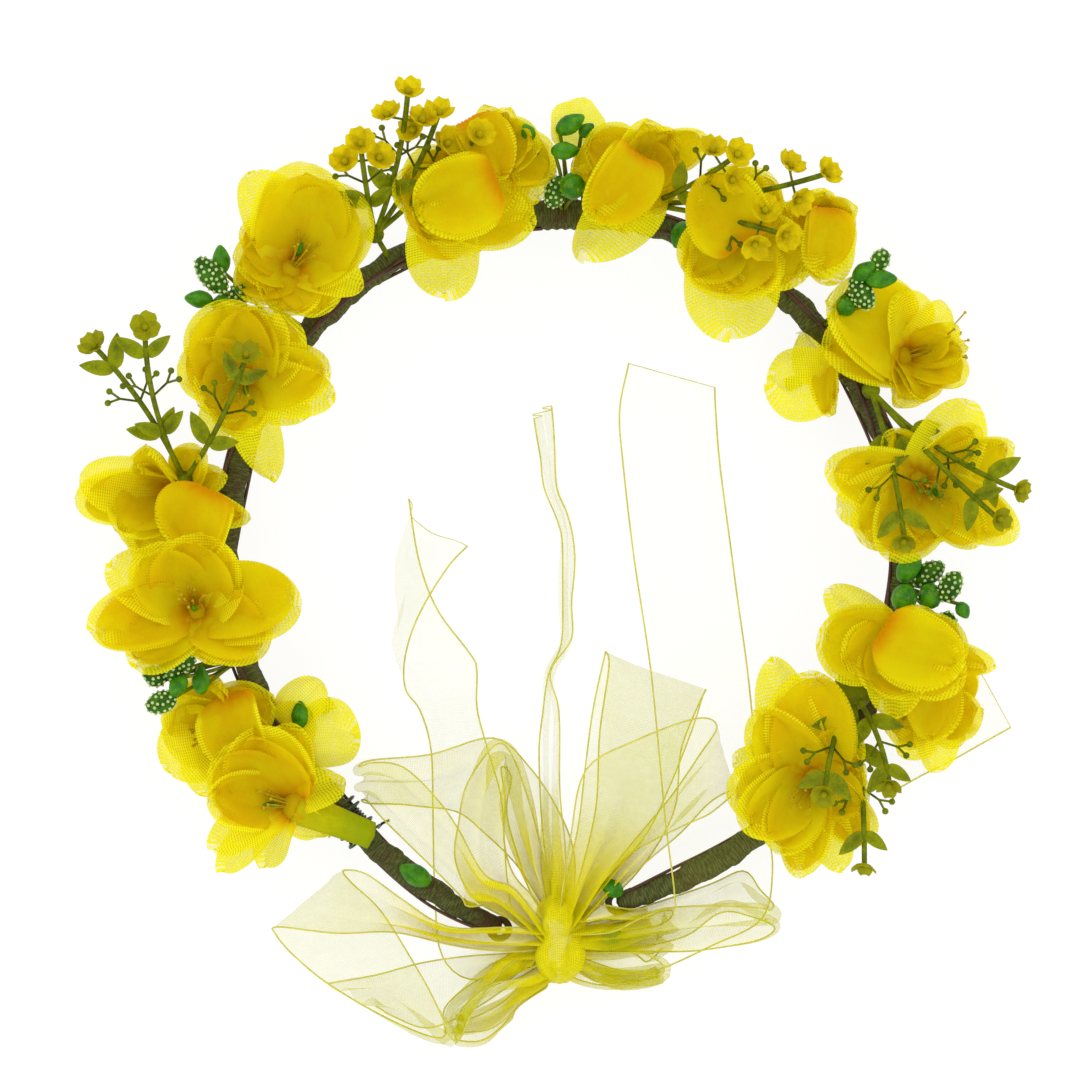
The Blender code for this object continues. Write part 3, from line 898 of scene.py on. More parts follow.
@dataclass(frozen=True)
class Mouth:
    """Where a blossom opens: the middle of its CAD petal ring, and the way it faces."""

    place: np.ndarray
    axis: np.ndarray

    @classmethod
    def of(cls, node: str) -> "Mouth":
        """Reads a CAD petal ring.

        Args:
            node: The CAD node.

        Returns:
            The ring's mouth.
        """
        corners = np.array([vert.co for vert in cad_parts[node].data.vertices], float)
        corners = np.unique(np.round(corners, 6), axis=0)
        middle = corners.mean(axis=0)
        spread, ways = np.linalg.eigh(np.cov((corners - middle).T))
        axis = ways[:, 0] if spread[1] - spread[0] > spread[2] - spread[1] else ways[:, 2]
        height = (corners - middle) @ axis
        width = np.linalg.norm((corners - middle) - np.outer(height, axis), axis=1)
        if np.corrcoef(height, width)[0, 1] < 0:
            axis, height = -axis, -height
        return cls(middle + axis * height.min(), axis)


def middle_of(node: str) -> np.ndarray:
    """The middle of a CAD node's box."""
    low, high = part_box(node)
    return 0.5 * (np.array(low) + np.array(high))


HOOP_HEIGHT = float(middle_of("arm_left")[2])


class Tie:
    """The hoop's centre line: a circle that flares towards the tie, as the CAD arms do."""

    RADIUS = 0.0915
    FLARES = {True: (258.0, 0.0110), False: (-79.0, 0.0040)}
    START = 46.0

    @classmethod
    def point(cls, angle: float) -> np.ndarray:
        """The centre line's point at a plan angle, where angles run from -90 to 270.

        Args:
            angle: The plan angle, in degrees.

        Returns:
            The point, in metres.
        """
        angle = (angle + 90.0) % 360.0 - 90.0
        end, flare = cls.FLARES[angle >= 90.0]
        share = max(0.0, 1.0 - abs(end - angle) / cls.START)
        radius = cls.RADIUS + flare * share * share
        turn = math.radians(angle)
        return np.array((radius * math.cos(turn), radius * math.sin(turn), HOOP_HEIGHT))


# ---- blossoms


S, D = Layers.SHEER, Layers.DENSE


@dataclass(frozen=True)
class Petal:
    """One petal from a blossom's mouth: where its tip is in plan, how far it rises, and its width, in mm.

    start moves its foot away from the mouth, in plan and up.
    """

    direction: float
    reach: float
    lift: float
    width: float
    layers: Layers = D
    start: tuple[float, float, float] = (0.0, 0.0, 0.0)


@dataclass
class Blossom:
    """A cloth blossom: funnel, petals, filaments and pip, built round its CAD ring and tube."""

    name: str
    body: Body
    rows: tuple[Petal, ...]
    filaments: int = 9
    filament_length: float = 0.0110
    funnel: float = 0.0140
    funnel_heading: float | None = None
    mouth_radius: float = 0.0038
    foot_radius: float = 0.0017
    crush: float = 0.55
    across: int = 20
    along: int = 20
    paths: list[np.ndarray] = field(default_factory=list)

    def petal(self, skin: Skin, mouth: Mouth, row: Petal, rng: np.random.Generator, scale: float, back: float,
            tint: float, closed: float) -> None:
        """Adds one layer of a petal as a cupped, ruffled sheet.

        Args:
            skin: The mesh to add to.
            mouth: The blossom's mouth.
            row: The petal.
            rng: The source of small differences.
            scale: The layer's size beside the row's.
            back: How far behind the front layer it lies, in metres.
            tint: The layer's tint, from 0, lemon, to 1, gold.
            closed: How far out towards the rim its weave is closed, or 0 for open weave all over.
        """
        axis = unit((1 - self.crush) * mouth.axis + self.crush * UP)
        tip = plan(row.direction, row.reach * scale, row.lift)
        shift = np.array(row.start) * MM
        out = tip - shift
        out = unit(out - (out @ axis) * axis)
        side = np.cross(axis, out)
        foot = shift + (0.35 * self.mouth_radius * out if not np.any(shift) else 0.0)
        length = float(np.linalg.norm(tip - foot))
        v = np.sin(np.linspace(0, 1, self.along + 1) * 0.5 * math.pi)
        u = np.sin(np.linspace(-1, 1, self.across + 1) * 0.42 * math.pi) / math.sin(0.42 * math.pi)
        bend = foot + axis * length * rng.uniform(0.34, 0.46) + out * 0.16 * length
        spine = bezier(foot, bend, tip, 60)
        spine = np.stack([np.interp(v, np.linspace(0, 1, 61), spine[:, k]) for k in range(3)], axis=-1)
        ahead = unit(np.gradient(spine, axis=0))
        facing = unit(np.cross(ahead, side))
        widest = 0.56
        rise = np.clip(v / widest, 0, 1)
        claw = 0.34 + 0.66 * rise * (2 - rise)
        outline = claw * np.sqrt(np.clip(1 - (np.clip(v - widest, 0, 1) / (1 - widest)) ** 2.3, 0, 1))
        half = 0.5 * row.width * MM * scale * outline
        uu, vv = np.meshgrid(u, v)
        phase, waves = rng.uniform(0, math.tau, 3), rng.uniform(1.2, 2.4)
        cup = rng.uniform(0.10, 0.24) * row.width * MM
        lift = cup * uu**2 * np.sin(np.clip(vv, 0, 1) * math.pi * 0.75)
        lift = lift + 0.0009 * vv**2 * np.sin(waves * math.pi * uu + phase[0]) * (0.35 + np.abs(uu))
        lift = lift + 0.0004 * np.sin(5.1 * uu + 7 * vv + phase[1]) * vv + 0.00018 * np.sin(14 * uu - 9
            * vv + phase[2])
        lean = 0.06 * row.width * MM * np.sin(phase[0]) * vv**2
        offset = half[:, None] * uu + lean
        points = mouth.place + spine[:, None] + offset[..., None] * side + (lift - back)[...,
            None] * facing[:, None]
        curl = rng.uniform(-0.0016, 0.0012) * np.clip((vv - 0.78) / 0.22, 0, 1) ** 2
        points = points + curl[..., None] * facing[:, None]
        points[..., 2] = np.maximum(points[..., 2], TABLE_GAP + 0.0004 * (1 + uu**2))
        uv = np.stack([offset + 0.03 * phase[0], vv * length + 0.02 * phase[1]], axis=-1)
        rim = np.maximum(np.abs(uu) * (0.55 + 0.45 * vv), vv)
        rim = np.where(vv > 0.35, np.maximum(np.abs(uu), vv), rim)
        fullness = 0.0 if closed == 0.0 else np.clip((closed - rim) / 0.16, 0, 1)
        skin.grid(points, uv, 0, along=vv, rim=rim, tint=tint, fullness=fullness)

    def foot(self, mouth: Mouth) -> np.ndarray:
        """Where the funnel ends, behind the mouth or along its own heading.

        Args:
            mouth: The blossom's mouth.

        Returns:
            The funnel's far end, in metres.
        """
        if self.funnel_heading is None:
            foot = mouth.place - mouth.axis * self.funnel
        else:
            foot = mouth.place + plan(self.funnel_heading, self.funnel / MM, -4.0)
        foot[2] = max(foot[2], 0.003)
        return foot

    def build(self, cloths: Wardrobe, rng: np.random.Generator) -> bpy.types.Object:
        """Builds the petals and the funnel as one piece.

        Args:
            cloths: The finishes.
            rng: The source of small differences.

        Returns:
            The piece.
        """
        mouth = Mouth.of("petals_" + self.name)
        skin = Skin()
        for row in self.rows:
            tint = float(rng.uniform(0.2, 0.9))
            if row.layers is D:
                self.petal(skin, mouth, row, rng, 0.95, 0.0, tint, 1.08)
                self.petal(skin, mouth, row, rng, 1.05, 0.0011, tint * 0.6, 0.9)
            else:
                self.petal(skin, mouth, row, rng, 1.0, 0.0, 0.15 * tint, 0.0)
        steps = np.linspace(0, 1, 15)
        foot = self.foot(mouth)
        path = foot + np.outer(steps, mouth.place - foot)
        radii = self.foot_radius + (self.mouth_radius - self.foot_radius) * steps**1.5
        radii = np.concatenate([[0.0], radii, [0.55 * self.mouth_radius, 0.0]])
        path = np.concatenate([[path[0] - 0.0006 * mouth.axis], path,
            [path[-1] + 0.0001 * mouth.axis, path[-1] - 0.0002 * mouth.axis]])
        skin.tube(path, radii, 20, slot=1, ribs=5, rib=0.09)
        if self.filaments or self.funnel > 0.01:
            skin.bead(mouth.place - 0.001 * mouth.axis, mouth.axis, 1.8 * self.mouth_radius,
                2.2 * self.mouth_radius, slot=1, along=0.985)
        self.add_filaments(mouth, rng)
        self.add_pip(skin, mouth, rng)
        piece = skin.piece("blossom_" + self.name, [cloths.petal, cloths.tube, cloths.pip])
        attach(piece, self.body.value)
        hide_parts("petals_" + self.name, "tube_" + self.name)
        return piece

    def add_filaments(self, mouth: Mouth, rng: np.random.Generator) -> None:
        """Lays out the filaments, which one sweep for each body turns into threads.

        Args:
            mouth: The blossom's mouth.
            rng: The source of small differences.
        """
        across = unit(np.cross(mouth.axis, (0.2, 0.5, 0.84)))
        other = np.cross(mouth.axis, across)
        for i in range(self.filaments):
            turn = math.tau * i / self.filaments + rng.uniform(-0.3, 0.3)
            spoke = math.cos(turn) * across + math.sin(turn) * other
            length = self.filament_length * rng.uniform(0.75, 1.15)
            start = mouth.place + 0.0009 * spoke
            end = mouth.place + mouth.axis * length + spoke * length * rng.uniform(0.12, 0.42)
            end[2] = max(end[2], 0.001)
            bend = mouth.place + mouth.axis * 0.6 * length + spoke * 0.0012
            self.paths.append(bezier(start, bend, end, 6))

    def add_pip(self, skin: Skin, mouth: Mouth, rng: np.random.Generator) -> None:
        """Adds the small green pip among the filaments.

        Args:
            skin: The mesh to add to.
            mouth: The blossom's mouth.
            rng: The source of small differences.
        """
        if not self.filaments:
            return
        lean = unit(mouth.axis + 0.35 * unit(rng.normal(size=3)))
        skin.bead(mouth.place + lean * 0.0075, lean, 0.0055, 0.0017, slot=2, point=0.6, sides=10)

    def stem(self) -> np.ndarray:
        """The path of its stem from the funnel down to the tape.

        Returns:
            The points of the stem's centre line.
        """
        mouth = Mouth.of("petals_" + self.name)
        foot = self.foot(mouth)
        anchor = Tie.point(math.degrees(math.atan2(foot[1], foot[0])))
        return bezier(foot + 0.001 * mouth.axis, foot - 0.003 * mouth.axis, anchor, 6)


def rows(*values: tuple) -> tuple[Petal, ...]:
    """Petals from rows of their numbers."""
    return tuple(Petal(*value) for value in values)


def folded_over(
    middle: tuple[float, float], heading: float, size: tuple[float, float], heights: tuple[float, float]
) -> tuple:
    """The row of a dense petal that folds over the blossom's mouth and hides it.

    Args:
        middle: Its middle in plan, from the mouth, in mm.
        heading: The direction from its foot to its tip, in degrees.
        size: Its length and width, in mm.
        heights: The heights of its foot and of its tip over the mouth, in mm.

    Returns:
        The petal's numbers, to the tenth of a millimetre.
    """
    half = 0.5 * size[0] * np.array((math.cos(math.radians(heading)), math.sin(math.radians(heading))))
    foot, tip = np.array(middle) - half, np.array(middle) + half
    direction = round(math.degrees(math.atan2(tip[1], tip[0])) % 360)
    reach = round(math.hypot(tip[0], tip[1]), 1)
    return (direction, reach, heights[1], size[1], D, (round(foot[0], 1), round(foot[1], 1), heights[0]))


BLOSSOMS = (
    Blossom("01", Body.LEFT, rows(
        (118, 23, 10, 24), (150, 24, 5, 22), (172, 22, 7, 16), (208, 24, -2, 13, S), (224, 26, -8, 11, S),
        (246, 18, -10, 13, S), (28, 15, -2, 12, S), (318, 12, -6, 10, S), (92, 21, 2, 18)), funnel=0.022,
        mouth_radius=0.0048, foot_radius=0.0036, funnel_heading=-22.0),
    Blossom("02", Body.LEFT, rows(
        (95, 13, 14, 20), (150, 13, 13, 20), (190, 17, 6, 20, S), (225, 19, 2, 20, S), (255, 20, -2, 16, S),
        (30, 15, 12, 18), (330, 17, 8, 20), (285, 16, 6, 18),
        folded_over((6.5, -1), 285, (22, 21), (16, 16)))),
    Blossom("03", Body.LEFT, rows(
        (5, 27, 6, 22), (332, 21, 8, 20), (40, 16, 7, 18, S), (62, 19, 4, 16, S), (92, 20, 9, 24),
        (135, 21, 8, 20), (152, 26, 2, 18, S), (192, 28, 4, 18), (220, 21, 4, 18), (300, 15, 7, 14)),
        filaments=11),
    Blossom("04", Body.LEFT, rows(
        (172, 27, 9, 17, S), (188, 27, 7, 15), (338, 20, 14, 10), (300, 18, 12, 18), (268, 20, 14, 24),
        (235, 20, 8, 18, S), (210, 19, 14, 18), (125, 13, 20, 13), (55, 13, 20, 13), (150, 12, 14, 10),
        (20, 13, 14, 10), folded_over((7, -8), 250, (17, 24), (21, 20))), filaments=0),
    Blossom("05", Body.LEFT, rows(
        (112, 20, 9, 24), (75, 18, 10, 20), (40, 19, 7, 18), (2, 22, 7, 18), (345, 24, 3, 16, S),
        (325, 19, 0, 14, S), (285, 28, -8, 14, S), (262, 16, 4, 16), (162, 17, 8, 18), (215, 14, 7, 18),
        (240, 20, -6, 12, S))),
    Blossom("06", Body.LEFT, rows(
        (82, 27, 12, 26), (50, 26, 10, 26), (22, 20, 5, 20), (115, 28, 2, 19, S), (345, 20, 2, 14, S),
        (310, 15, 4, 18), (255, 12, 8, 18), (205, 15, 6, 16), (170, 14, 10, 16), (140, 16, 8, 16))),
    Blossom("07", Body.LEFT, rows(
        (268, 25, -10, 20, S), (288, 16, -2, 20), (250, 12, 4, 18), (350, 24, 0, 20), (25, 20, 4, 20),
        (60, 15, 8, 16), (100, 14, 8, 18), (145, 13, 8, 16), (205, 9, 6, 14),
        folded_over((4, 1), 200, (22, 22), (13, 12))), filaments=0),
    Blossom("08", Body.LEFT, rows(
        (90, 12, 10, 10), (62, 12, 8, 10), (15, 14, 8, 16), (322, 19, 0, 18, S), (342, 18, 4, 18),
        (292, 18, 0, 14, S), (210, 12, 6, 14), folded_over((-1, 1), 300, (18, 16), (12, 12))), filaments=0),
    Blossom("09", Body.RIGHT, rows(
        (20, 21, 6, 12), (72, 12, 10, 14), (40, 14, 8, 12), (150, 14, 8, 16), (0, 13, 6, 14),
        (300, 14, 4, 18), (242, 26, -8, 22, S), (215, 14, 2, 16), (262, 17, -2, 14, S), (185, 16, 4, 18),
        folded_over((-5, -5), 235, (21, 19), (12, 12))), filaments=0),
    Blossom("10", Body.RIGHT, rows(
        (268, 27, -8, 26, S), (262, 19, 4, 27), (222, 18, 6, 18), (328, 21, 4, 20), (290, 18, 6, 18),
        (100, 16, 9, 20), (62, 16, 8, 18), (20, 14, 8, 16), (155, 11, 8, 14),
        folded_over((-3, 4), 120, (20, 22), (12, 13))), filaments=0),
    Blossom("11", Body.RIGHT, rows(
        (5, 12, 6, 9), (348, 12, 5, 10), (312, 13, 4, 13), (282, 18, 2, 16), (250, 17, 4, 16),
        (200, 11, 6, 12), (60, 7, 7, 9), folded_over((3, -7), 265, (17, 15), (11, 10))), filaments=5),
    Blossom("12", Body.RIGHT, rows(
        (146, 25, 17, 27), (172, 22, 13, 22), (52, 18, 6, 13, S), (5, 16, 9, 9), (335, 17, 7, 14),
        (292, 13, 9, 14), (262, 13, 11, 14), (100, 17, 12, 18, S), (25, 14, 12, 10)), filaments=10,
        filament_length=0.017),
    Blossom("13", Body.RIGHT, rows(
        (60, 24, 4, 20, S), (175, 24, 4, 17), (200, 23, 0, 18, S), (225, 22, 4, 20), (252, 22, 6, 20),
        (282, 17, 5, 16), (332, 29, 3, 15), (312, 23, 5, 14), (20, 26, 4, 14), (120, 15, 5, 12),
        (42, 20, 6, 14))),
    Blossom("14", Body.RIGHT, rows(
        (175, 20, 3, 22), (205, 15, 7, 18), (140, 22, -2, 14, S), (330, 20, 3, 18), (290, 15, 8, 20),
        (0, 18, 6, 18), (345, 26, 0, 10), (38, 12, 6, 14), (250, 15, 6, 16), (270, 20, 0, 16, S),
        folded_over((5.5, -1.5), 330, (22, 21), (12, 12))), filaments=0),
    Blossom("15", Body.RIGHT, rows(
        (95, 11, 12, 16), (0, 15, 8, 15), (45, 18, 8, 14), (285, 17, 2, 14, S), (250, 14, 4, 14, S),
        (318, 14, 4, 9, S), (210, 11, 8, 14), (150, 12, 9, 14),
        folded_over((0, 2), 280, (18, 18), (12, 12))), filaments=0),
    Blossom("16", Body.RIGHT, rows(
        (112, 33, -6, 17, S), (133, 23, 6, 18), (92, 27, 4, 24), (165, 22, -2, 14, S), (193, 23, 4, 20),
        (215, 23, 6, 18), (240, 22, 6, 16), (262, 26, 0, 14), (287, 26, -2, 13, S), (312, 22, 3, 14),
        (335, 15, 6, 16), (50, 16, 6, 16), (15, 13, 7, 14)), filaments=12),
    Blossom("17", Body.LEFT, rows(
        (300, 11, 1, 20, S, (-9.0, -11.0, 5.0)), (115, 7, 7, 13, S, (-14.0, -4.0, 5.0)),
        (200, 6, 8, 14, S, (-16.0, -10.0, 5.0))), filaments=0, funnel=0.004, mouth_radius=0.0018),
    Blossom("18", Body.RIGHT, rows(
        (140, 4, 2, 21, S, (14.0, 2.0, 6.0)), (78, 14, 6, 14, S, (13.0, 2.0, 6.0)),
        (325, 14, 8, 9, D, (13.0, 12.0, 5.0))), filaments=0, funnel=0.004, mouth_radius=0.0018),
)


class Garland:
    """All the blossoms, with their filaments and stems."""

    def __init__(self, cloths: Wardrobe, sweep: Sweep) -> None:
        """Takes the finishes and the sweep rule."""
        self.cloths, self.sweep = cloths, sweep

    def build(self) -> list[bpy.types.Object]:
        """Builds every blossom, then the filaments and stems of each body.

        Returns:
            The pieces.
        """
        rng = np.random.default_rng(41)
        pieces = [blossom.build(self.cloths, rng) for blossom in BLOSSOMS]
        for body in (Body.LEFT, Body.RIGHT):
            mine = [blossom for blossom in BLOSSOMS if blossom.body is body]
            threads = [path for blossom in mine for path in blossom.paths]
            stamens = self.sweep.along("filaments_" + body.value, threads, [0.00022] * len(threads),
                self.cloths.filament, 5, 0.00045)
            stems = [blossom.stem() for blossom in mine]
            shoots = self.sweep.along("stems_" + body.value, stems, [0.0011] * len(stems), self.cloths.tape,
                8)
            for piece, slot in ((stamens, Slot.PETAL), (shoots, Slot.TAPE)):
                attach(piece, body.value)
                pieces.append(piece)
        return pieces


# ---- arms


@dataclass
class TapedArm:
    """One arm of the hoop: crepe tape wound over wire and stems, narrowing to the eye at the tie."""

    node: str
    body: Body
    front: float
    end: float
    radius: float = 0.0033
    lap: float = 0.0085
    lap_height: float = 0.00055
    reach: float = 0.0045
    rings: int = 300
    sides: int = 26
    strand_radius: float = 0.00045

    def centre_line(self) -> np.ndarray:
        """The arm's centre line from the front to the tie, with the straight end that covers most of the eye.

        Returns:
            The points of the centre line, in metres.
        """
        line = np.array([Tie.point(angle) for angle in np.linspace(self.front, self.end, self.rings)])
        forward = unit(line[-1] - line[-2])
        return np.concatenate([line, line[-1] + forward * np.linspace(0.001, self.reach, 6)[:, None]])

    def build(self, cloths: Wardrobe, sweep: Sweep, rng: np.random.Generator) -> list[bpy.types.Object]:
        """Builds the taped arm, its eye and the brown strands bound along it.

        Args:
            cloths: The finishes.
            sweep: The rule for wires.
            rng: The source of small differences.

        Returns:
            The pieces.
        """
        path = self.centre_line()
        ahead = unit(np.gradient(path, axis=0))
        across = np.cross(ahead, UP)
        length = np.concatenate([[0], np.cumsum(np.linalg.norm(np.diff(path, axis=0), axis=1))])
        turn = np.linspace(0, math.tau, self.sides + 1)
        ll, tt = np.meshgrid(length, turn, indexing="ij")
        winding = (ll / self.lap - tt / math.tau) % 1.0
        lumps = 1 + 0.07 * np.sin(ll * 210 + 2 * np.sin(tt)) + 0.05 * np.sin(ll * 470 + tt + rng.uniform(0,
            6))
        radius = self.radius * lumps + self.lap_height * (winding**2 * (1 - winding) ** 0.5 * 3.2 - 0.5)
        radius = radius + 0.00012 * np.sin(ll * 2600 + 3 * tt) * np.sin(5 * tt + ll * 900)
        last = length[-1] - length
        narrow = 0.7 + 0.3 * np.clip(last / 0.02, 0, 1) ** 0.6
        radius = radius * narrow[:, None]
        radius[0], radius[-1] = 0.0, 0.0
        spokes = np.cos(tt)[..., None] * across[:, None] + np.sin(tt)[..., None] * UP
        points = path[:, None] + radius[..., None] * spokes
        points = points[:, ::-1]
        uv = np.stack([tt * self.radius, ll], axis=-1)[:, ::-1]
        skin = Skin()
        skin.grid(points, uv, 0, tint=0.0)
        arm = skin.piece("taped_" + self.node, [cloths.tape])
        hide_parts(self.node)
        eye = self.eye(path, ahead)
        eye_piece = sweep.along("eye_" + self.node, [eye], [0.00095], cloths.tape, 10)
        strands = []
        for start in (0.0, 2.1, 4.0):
            wander = start + 1.3 * np.sin(length * 31 + start) + length * 12
            reach = self.radius * narrow * 1.06 + self.strand_radius * 0.6
            strands.append(path + reach[:, None] * (np.cos(wander)[:, None] * across + np.sin(wander)[:,
                None] * UP))
        strand_piece = sweep.along("strands_" + self.node, [line[6:-4:2] for line in strands],
            [self.strand_radius] * 3, cloths.strand, 6)
        for piece in (arm, eye_piece, strand_piece):
            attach(piece, self.body.value)
        return [arm, eye_piece, strand_piece]

    @staticmethod
    def eye(path: np.ndarray, ahead: np.ndarray) -> np.ndarray:
        """The small loop of bare wire past the arm's end.

        Args:
            path: The arm's centre line.
            ahead: The centre line's direction at each point.

        Returns:
            The points of the loop.
        """
        forward = ahead[-1]
        across = np.array((-forward[1], forward[0], 0.0))
        centre = path[-1] - forward * 0.0005
        turn = np.radians(180.0 - np.linspace(0, 330, 21))[:, None]
        ring = centre + 0.0026 * (np.cos(turn) * forward + np.sin(turn) * across)
        return np.concatenate([[path[-1] - 0.004 * forward], ring])


class FrontJoin:
    """The flexible place where the two arms meet behind the flowers, as a short taped sleeve in one fixed
    piece.
    """

    HALF_SPAN = 5.0
    RADIUS = 0.0041

    def build(self, cloths: Wardrobe) -> bpy.types.Object:
        """Builds the sleeve where the halves meet.

        Args:
            cloths: The finishes.

        Returns:
            The piece.
        """
        angles = np.linspace(90 + self.HALF_SPAN, 90 - self.HALF_SPAN, 30)
        path = np.array([(*(Tie.RADIUS * np.array((math.cos(math.radians(a)), math.sin(math.radians(a))))),
            HOOP_HEIGHT) for a in angles])
        share = np.linspace(0, 1, 30)
        radii = self.RADIUS * (1 + 0.05 * np.sin(share * 40)) * np.clip(np.sin(share * math.pi) * 3, 0,
            1) ** 0.35
        radii[0] = radii[-1] = 0.0
        skin = Skin()
        skin.tube(path, radii, 22, ribs=7, rib=0.025, tint=0.0)
        piece = skin.piece("front_sleeve", [cloths.tape])
        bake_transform(piece)
        return piece


class Binding:
    """The dark wire wound tightly round the bare left arm, with looser curls and free ends."""

    ANGLE = 232.0
    CURLS = ((0.0, 7.0, 0.0041, 0.9), (-2.5, 2.2, 0.0054, 2.0), (2.0, 1.6, 0.0050, 3.0))
    WIRE = 0.00038

    def build(self, cloths: Wardrobe, sweep: Sweep) -> list[bpy.types.Object]:
        """Winds the tight coil and the loose curls in place of the CAD coil.

        Args:
            cloths: The finishes.
            sweep: The rule for wires.

        Returns:
            The curls.
        """
        paths = []
        for aside, turns, radius, pitch in self.CURLS:
            steps = np.linspace(0, 1, int(24 * turns))
            line = []
            for share in steps:
                angle = self.ANGLE + aside
                centre = Tie.point(angle + math.degrees(pitch * MM * (share - 0.5) * turns / Tie.RADIUS))
                ahead = unit(Tie.point(angle + 0.5) - Tie.point(angle - 0.5))
                across = np.cross(ahead, UP)
                turn = math.tau * turns * share
                line.append(centre + radius * (math.cos(turn) * across + math.sin(turn) * UP))
            line = np.array(line)
            tail = line[-1] + np.array([(0.0010, 0.0012, 0.0010), (0.0030, 0.0022, 0.0022)])
            paths.append(np.concatenate([line, tail]))
        piece = sweep.along("binding_coil", paths, [self.WIRE] * len(paths), cloths.wire, 7)
        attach(piece, Body.LEFT.value)
        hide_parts("binding_wire")
        return [piece]


# ---- berries and sprigs


class Fruit(Enum):
    """What a small part of a berry cluster is."""

    DOTTED = "dotted"
    PIP = "pip"
    BUMPY = "bumpy"
    DISC = "disc"
    CALYX = "calyx"


@dataclass(frozen=True)
class Grain:
    """One small part of a cluster: its kind, its place from the cluster's middle, size and heading, in mm."""

    kind: Fruit
    x: float
    y: float
    length: float
    width: float
    heading: float = 90.0
    height: float = 0.0


def grains(*values: tuple) -> tuple[Grain, ...]:
    """Grains from rows of their numbers, with the kind's first letters.

    Args:
        *values: One row for each grain.

    Returns:
        The grains.
    """
    kinds = {"dot": Fruit.DOTTED, "pip": Fruit.PIP, "bump": Fruit.BUMPY, "disc": Fruit.DISC,
        "calyx": Fruit.CALYX}
    return tuple(Grain(kinds[value[0]], *value[1:]) for value in values)


@dataclass
class BerryCluster:
    """A cluster of dotted berries, smooth pips and buds on short stalks."""

    number: int
    body: Body
    parts: tuple[Grain, ...]
    dot_spacing: float = 0.00135
    dot_radius: float = 0.00052

    def build(self, cloths: Wardrobe, dots: Dots, sweep: Sweep,
            rng: np.random.Generator) -> list[bpy.types.Object]:
        """Builds the cluster round its CAD node's box.

        Args:
            cloths: The finishes.
            dots: The rule for raised dots.
            sweep: The rule for stalks.
            rng: The source of small differences.

        Returns:
            The pieces.
        """
        node = f"berries_{self.number}"
        middle = middle_of(node)
        skin, spotted, stalks = Skin(), Skin(), []
        anchor = Tie.point(math.degrees(math.atan2(middle[1], middle[0])))
        for part in self.parts:
            centre = middle + np.array((part.x, part.y, part.height)) * MM
            way = unit(plan(part.heading, 1.0, rng.uniform(-0.15, 0.45)))
            length, width = part.length * MM, part.width * MM
            if part.kind is Fruit.DOTTED:
                skin.bead(centre, way, length, width, slot=0, point=0.25, sides=20)
                spotted.bead(centre, way, length, width, point=0.25, sides=20)
            elif part.kind is Fruit.BUMPY:
                skin.bead(centre, way, length, width, slot=1, sides=20)
                for _ in range(26):
                    spoke = unit(rng.normal(size=3))
                    skin.bead(centre + spoke * width * 0.42, spoke, 0.0016, 0.0015, slot=1, sides=8,
                        tint=0.35)
            elif part.kind is Fruit.PIP:
                skin.bead(centre, way, length, width, slot=1, point=0.8, sides=16)
            elif part.kind is Fruit.DISC:
                self.disc(skin, centre, 0.5 * length)
            else:
                skin.bead(centre, way, length, width, slot=1, point=-0.3, sides=18)
            foot = centre - way * 0.4 * length
            stalks.append(bezier(anchor + (centre - anchor) * 0.12,
                anchor + (centre - anchor) * 0.5 + UP * 0.004, foot, 7))
        piece = skin.piece(f"berry_cluster_{self.number}", [cloths.berry, cloths.pip, cloths.petal])
        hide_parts(node)
        made = [piece]
        if spotted.count:
            source = spotted.piece("spotted", [cloths.berry])
            made.append(dots.run(
                source, f"berry_dots_{self.number}", Spacing=self.dot_spacing, Dot_Radius=self.dot_radius,
                Seed=self.number, Material=cloths.dot
            ))
        made.append(sweep.along(f"berry_stalks_{self.number}", stalks, [0.0005] * len(stalks), cloths.leaf,
            6))
        for item in made:
            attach(item, self.body.value)
        return made

    @staticmethod
    def disc(skin: Skin, centre: np.ndarray, radius: float) -> None:
        """A small round gauze leaf, cupped upwards.

        Args:
            skin: The mesh to add to.
            centre: The leaf's middle, in metres.
            radius: Its radius, in metres.
        """
        share = np.linspace(0, 1, 7)[:, None]
        turn = np.linspace(0, math.tau, 25)[None]
        reach = share * radius * (1 + 0.06 * np.cos(5 * turn) * share)
        points = np.stack([reach * np.cos(turn), reach * np.sin(turn), 0.25 * radius * share**2 + 0 * turn],
            axis=-1) + centre
        uv = points[..., :2]
        skin.grid(points, uv, 2, along=0.75, rim=share, tint=0.3)


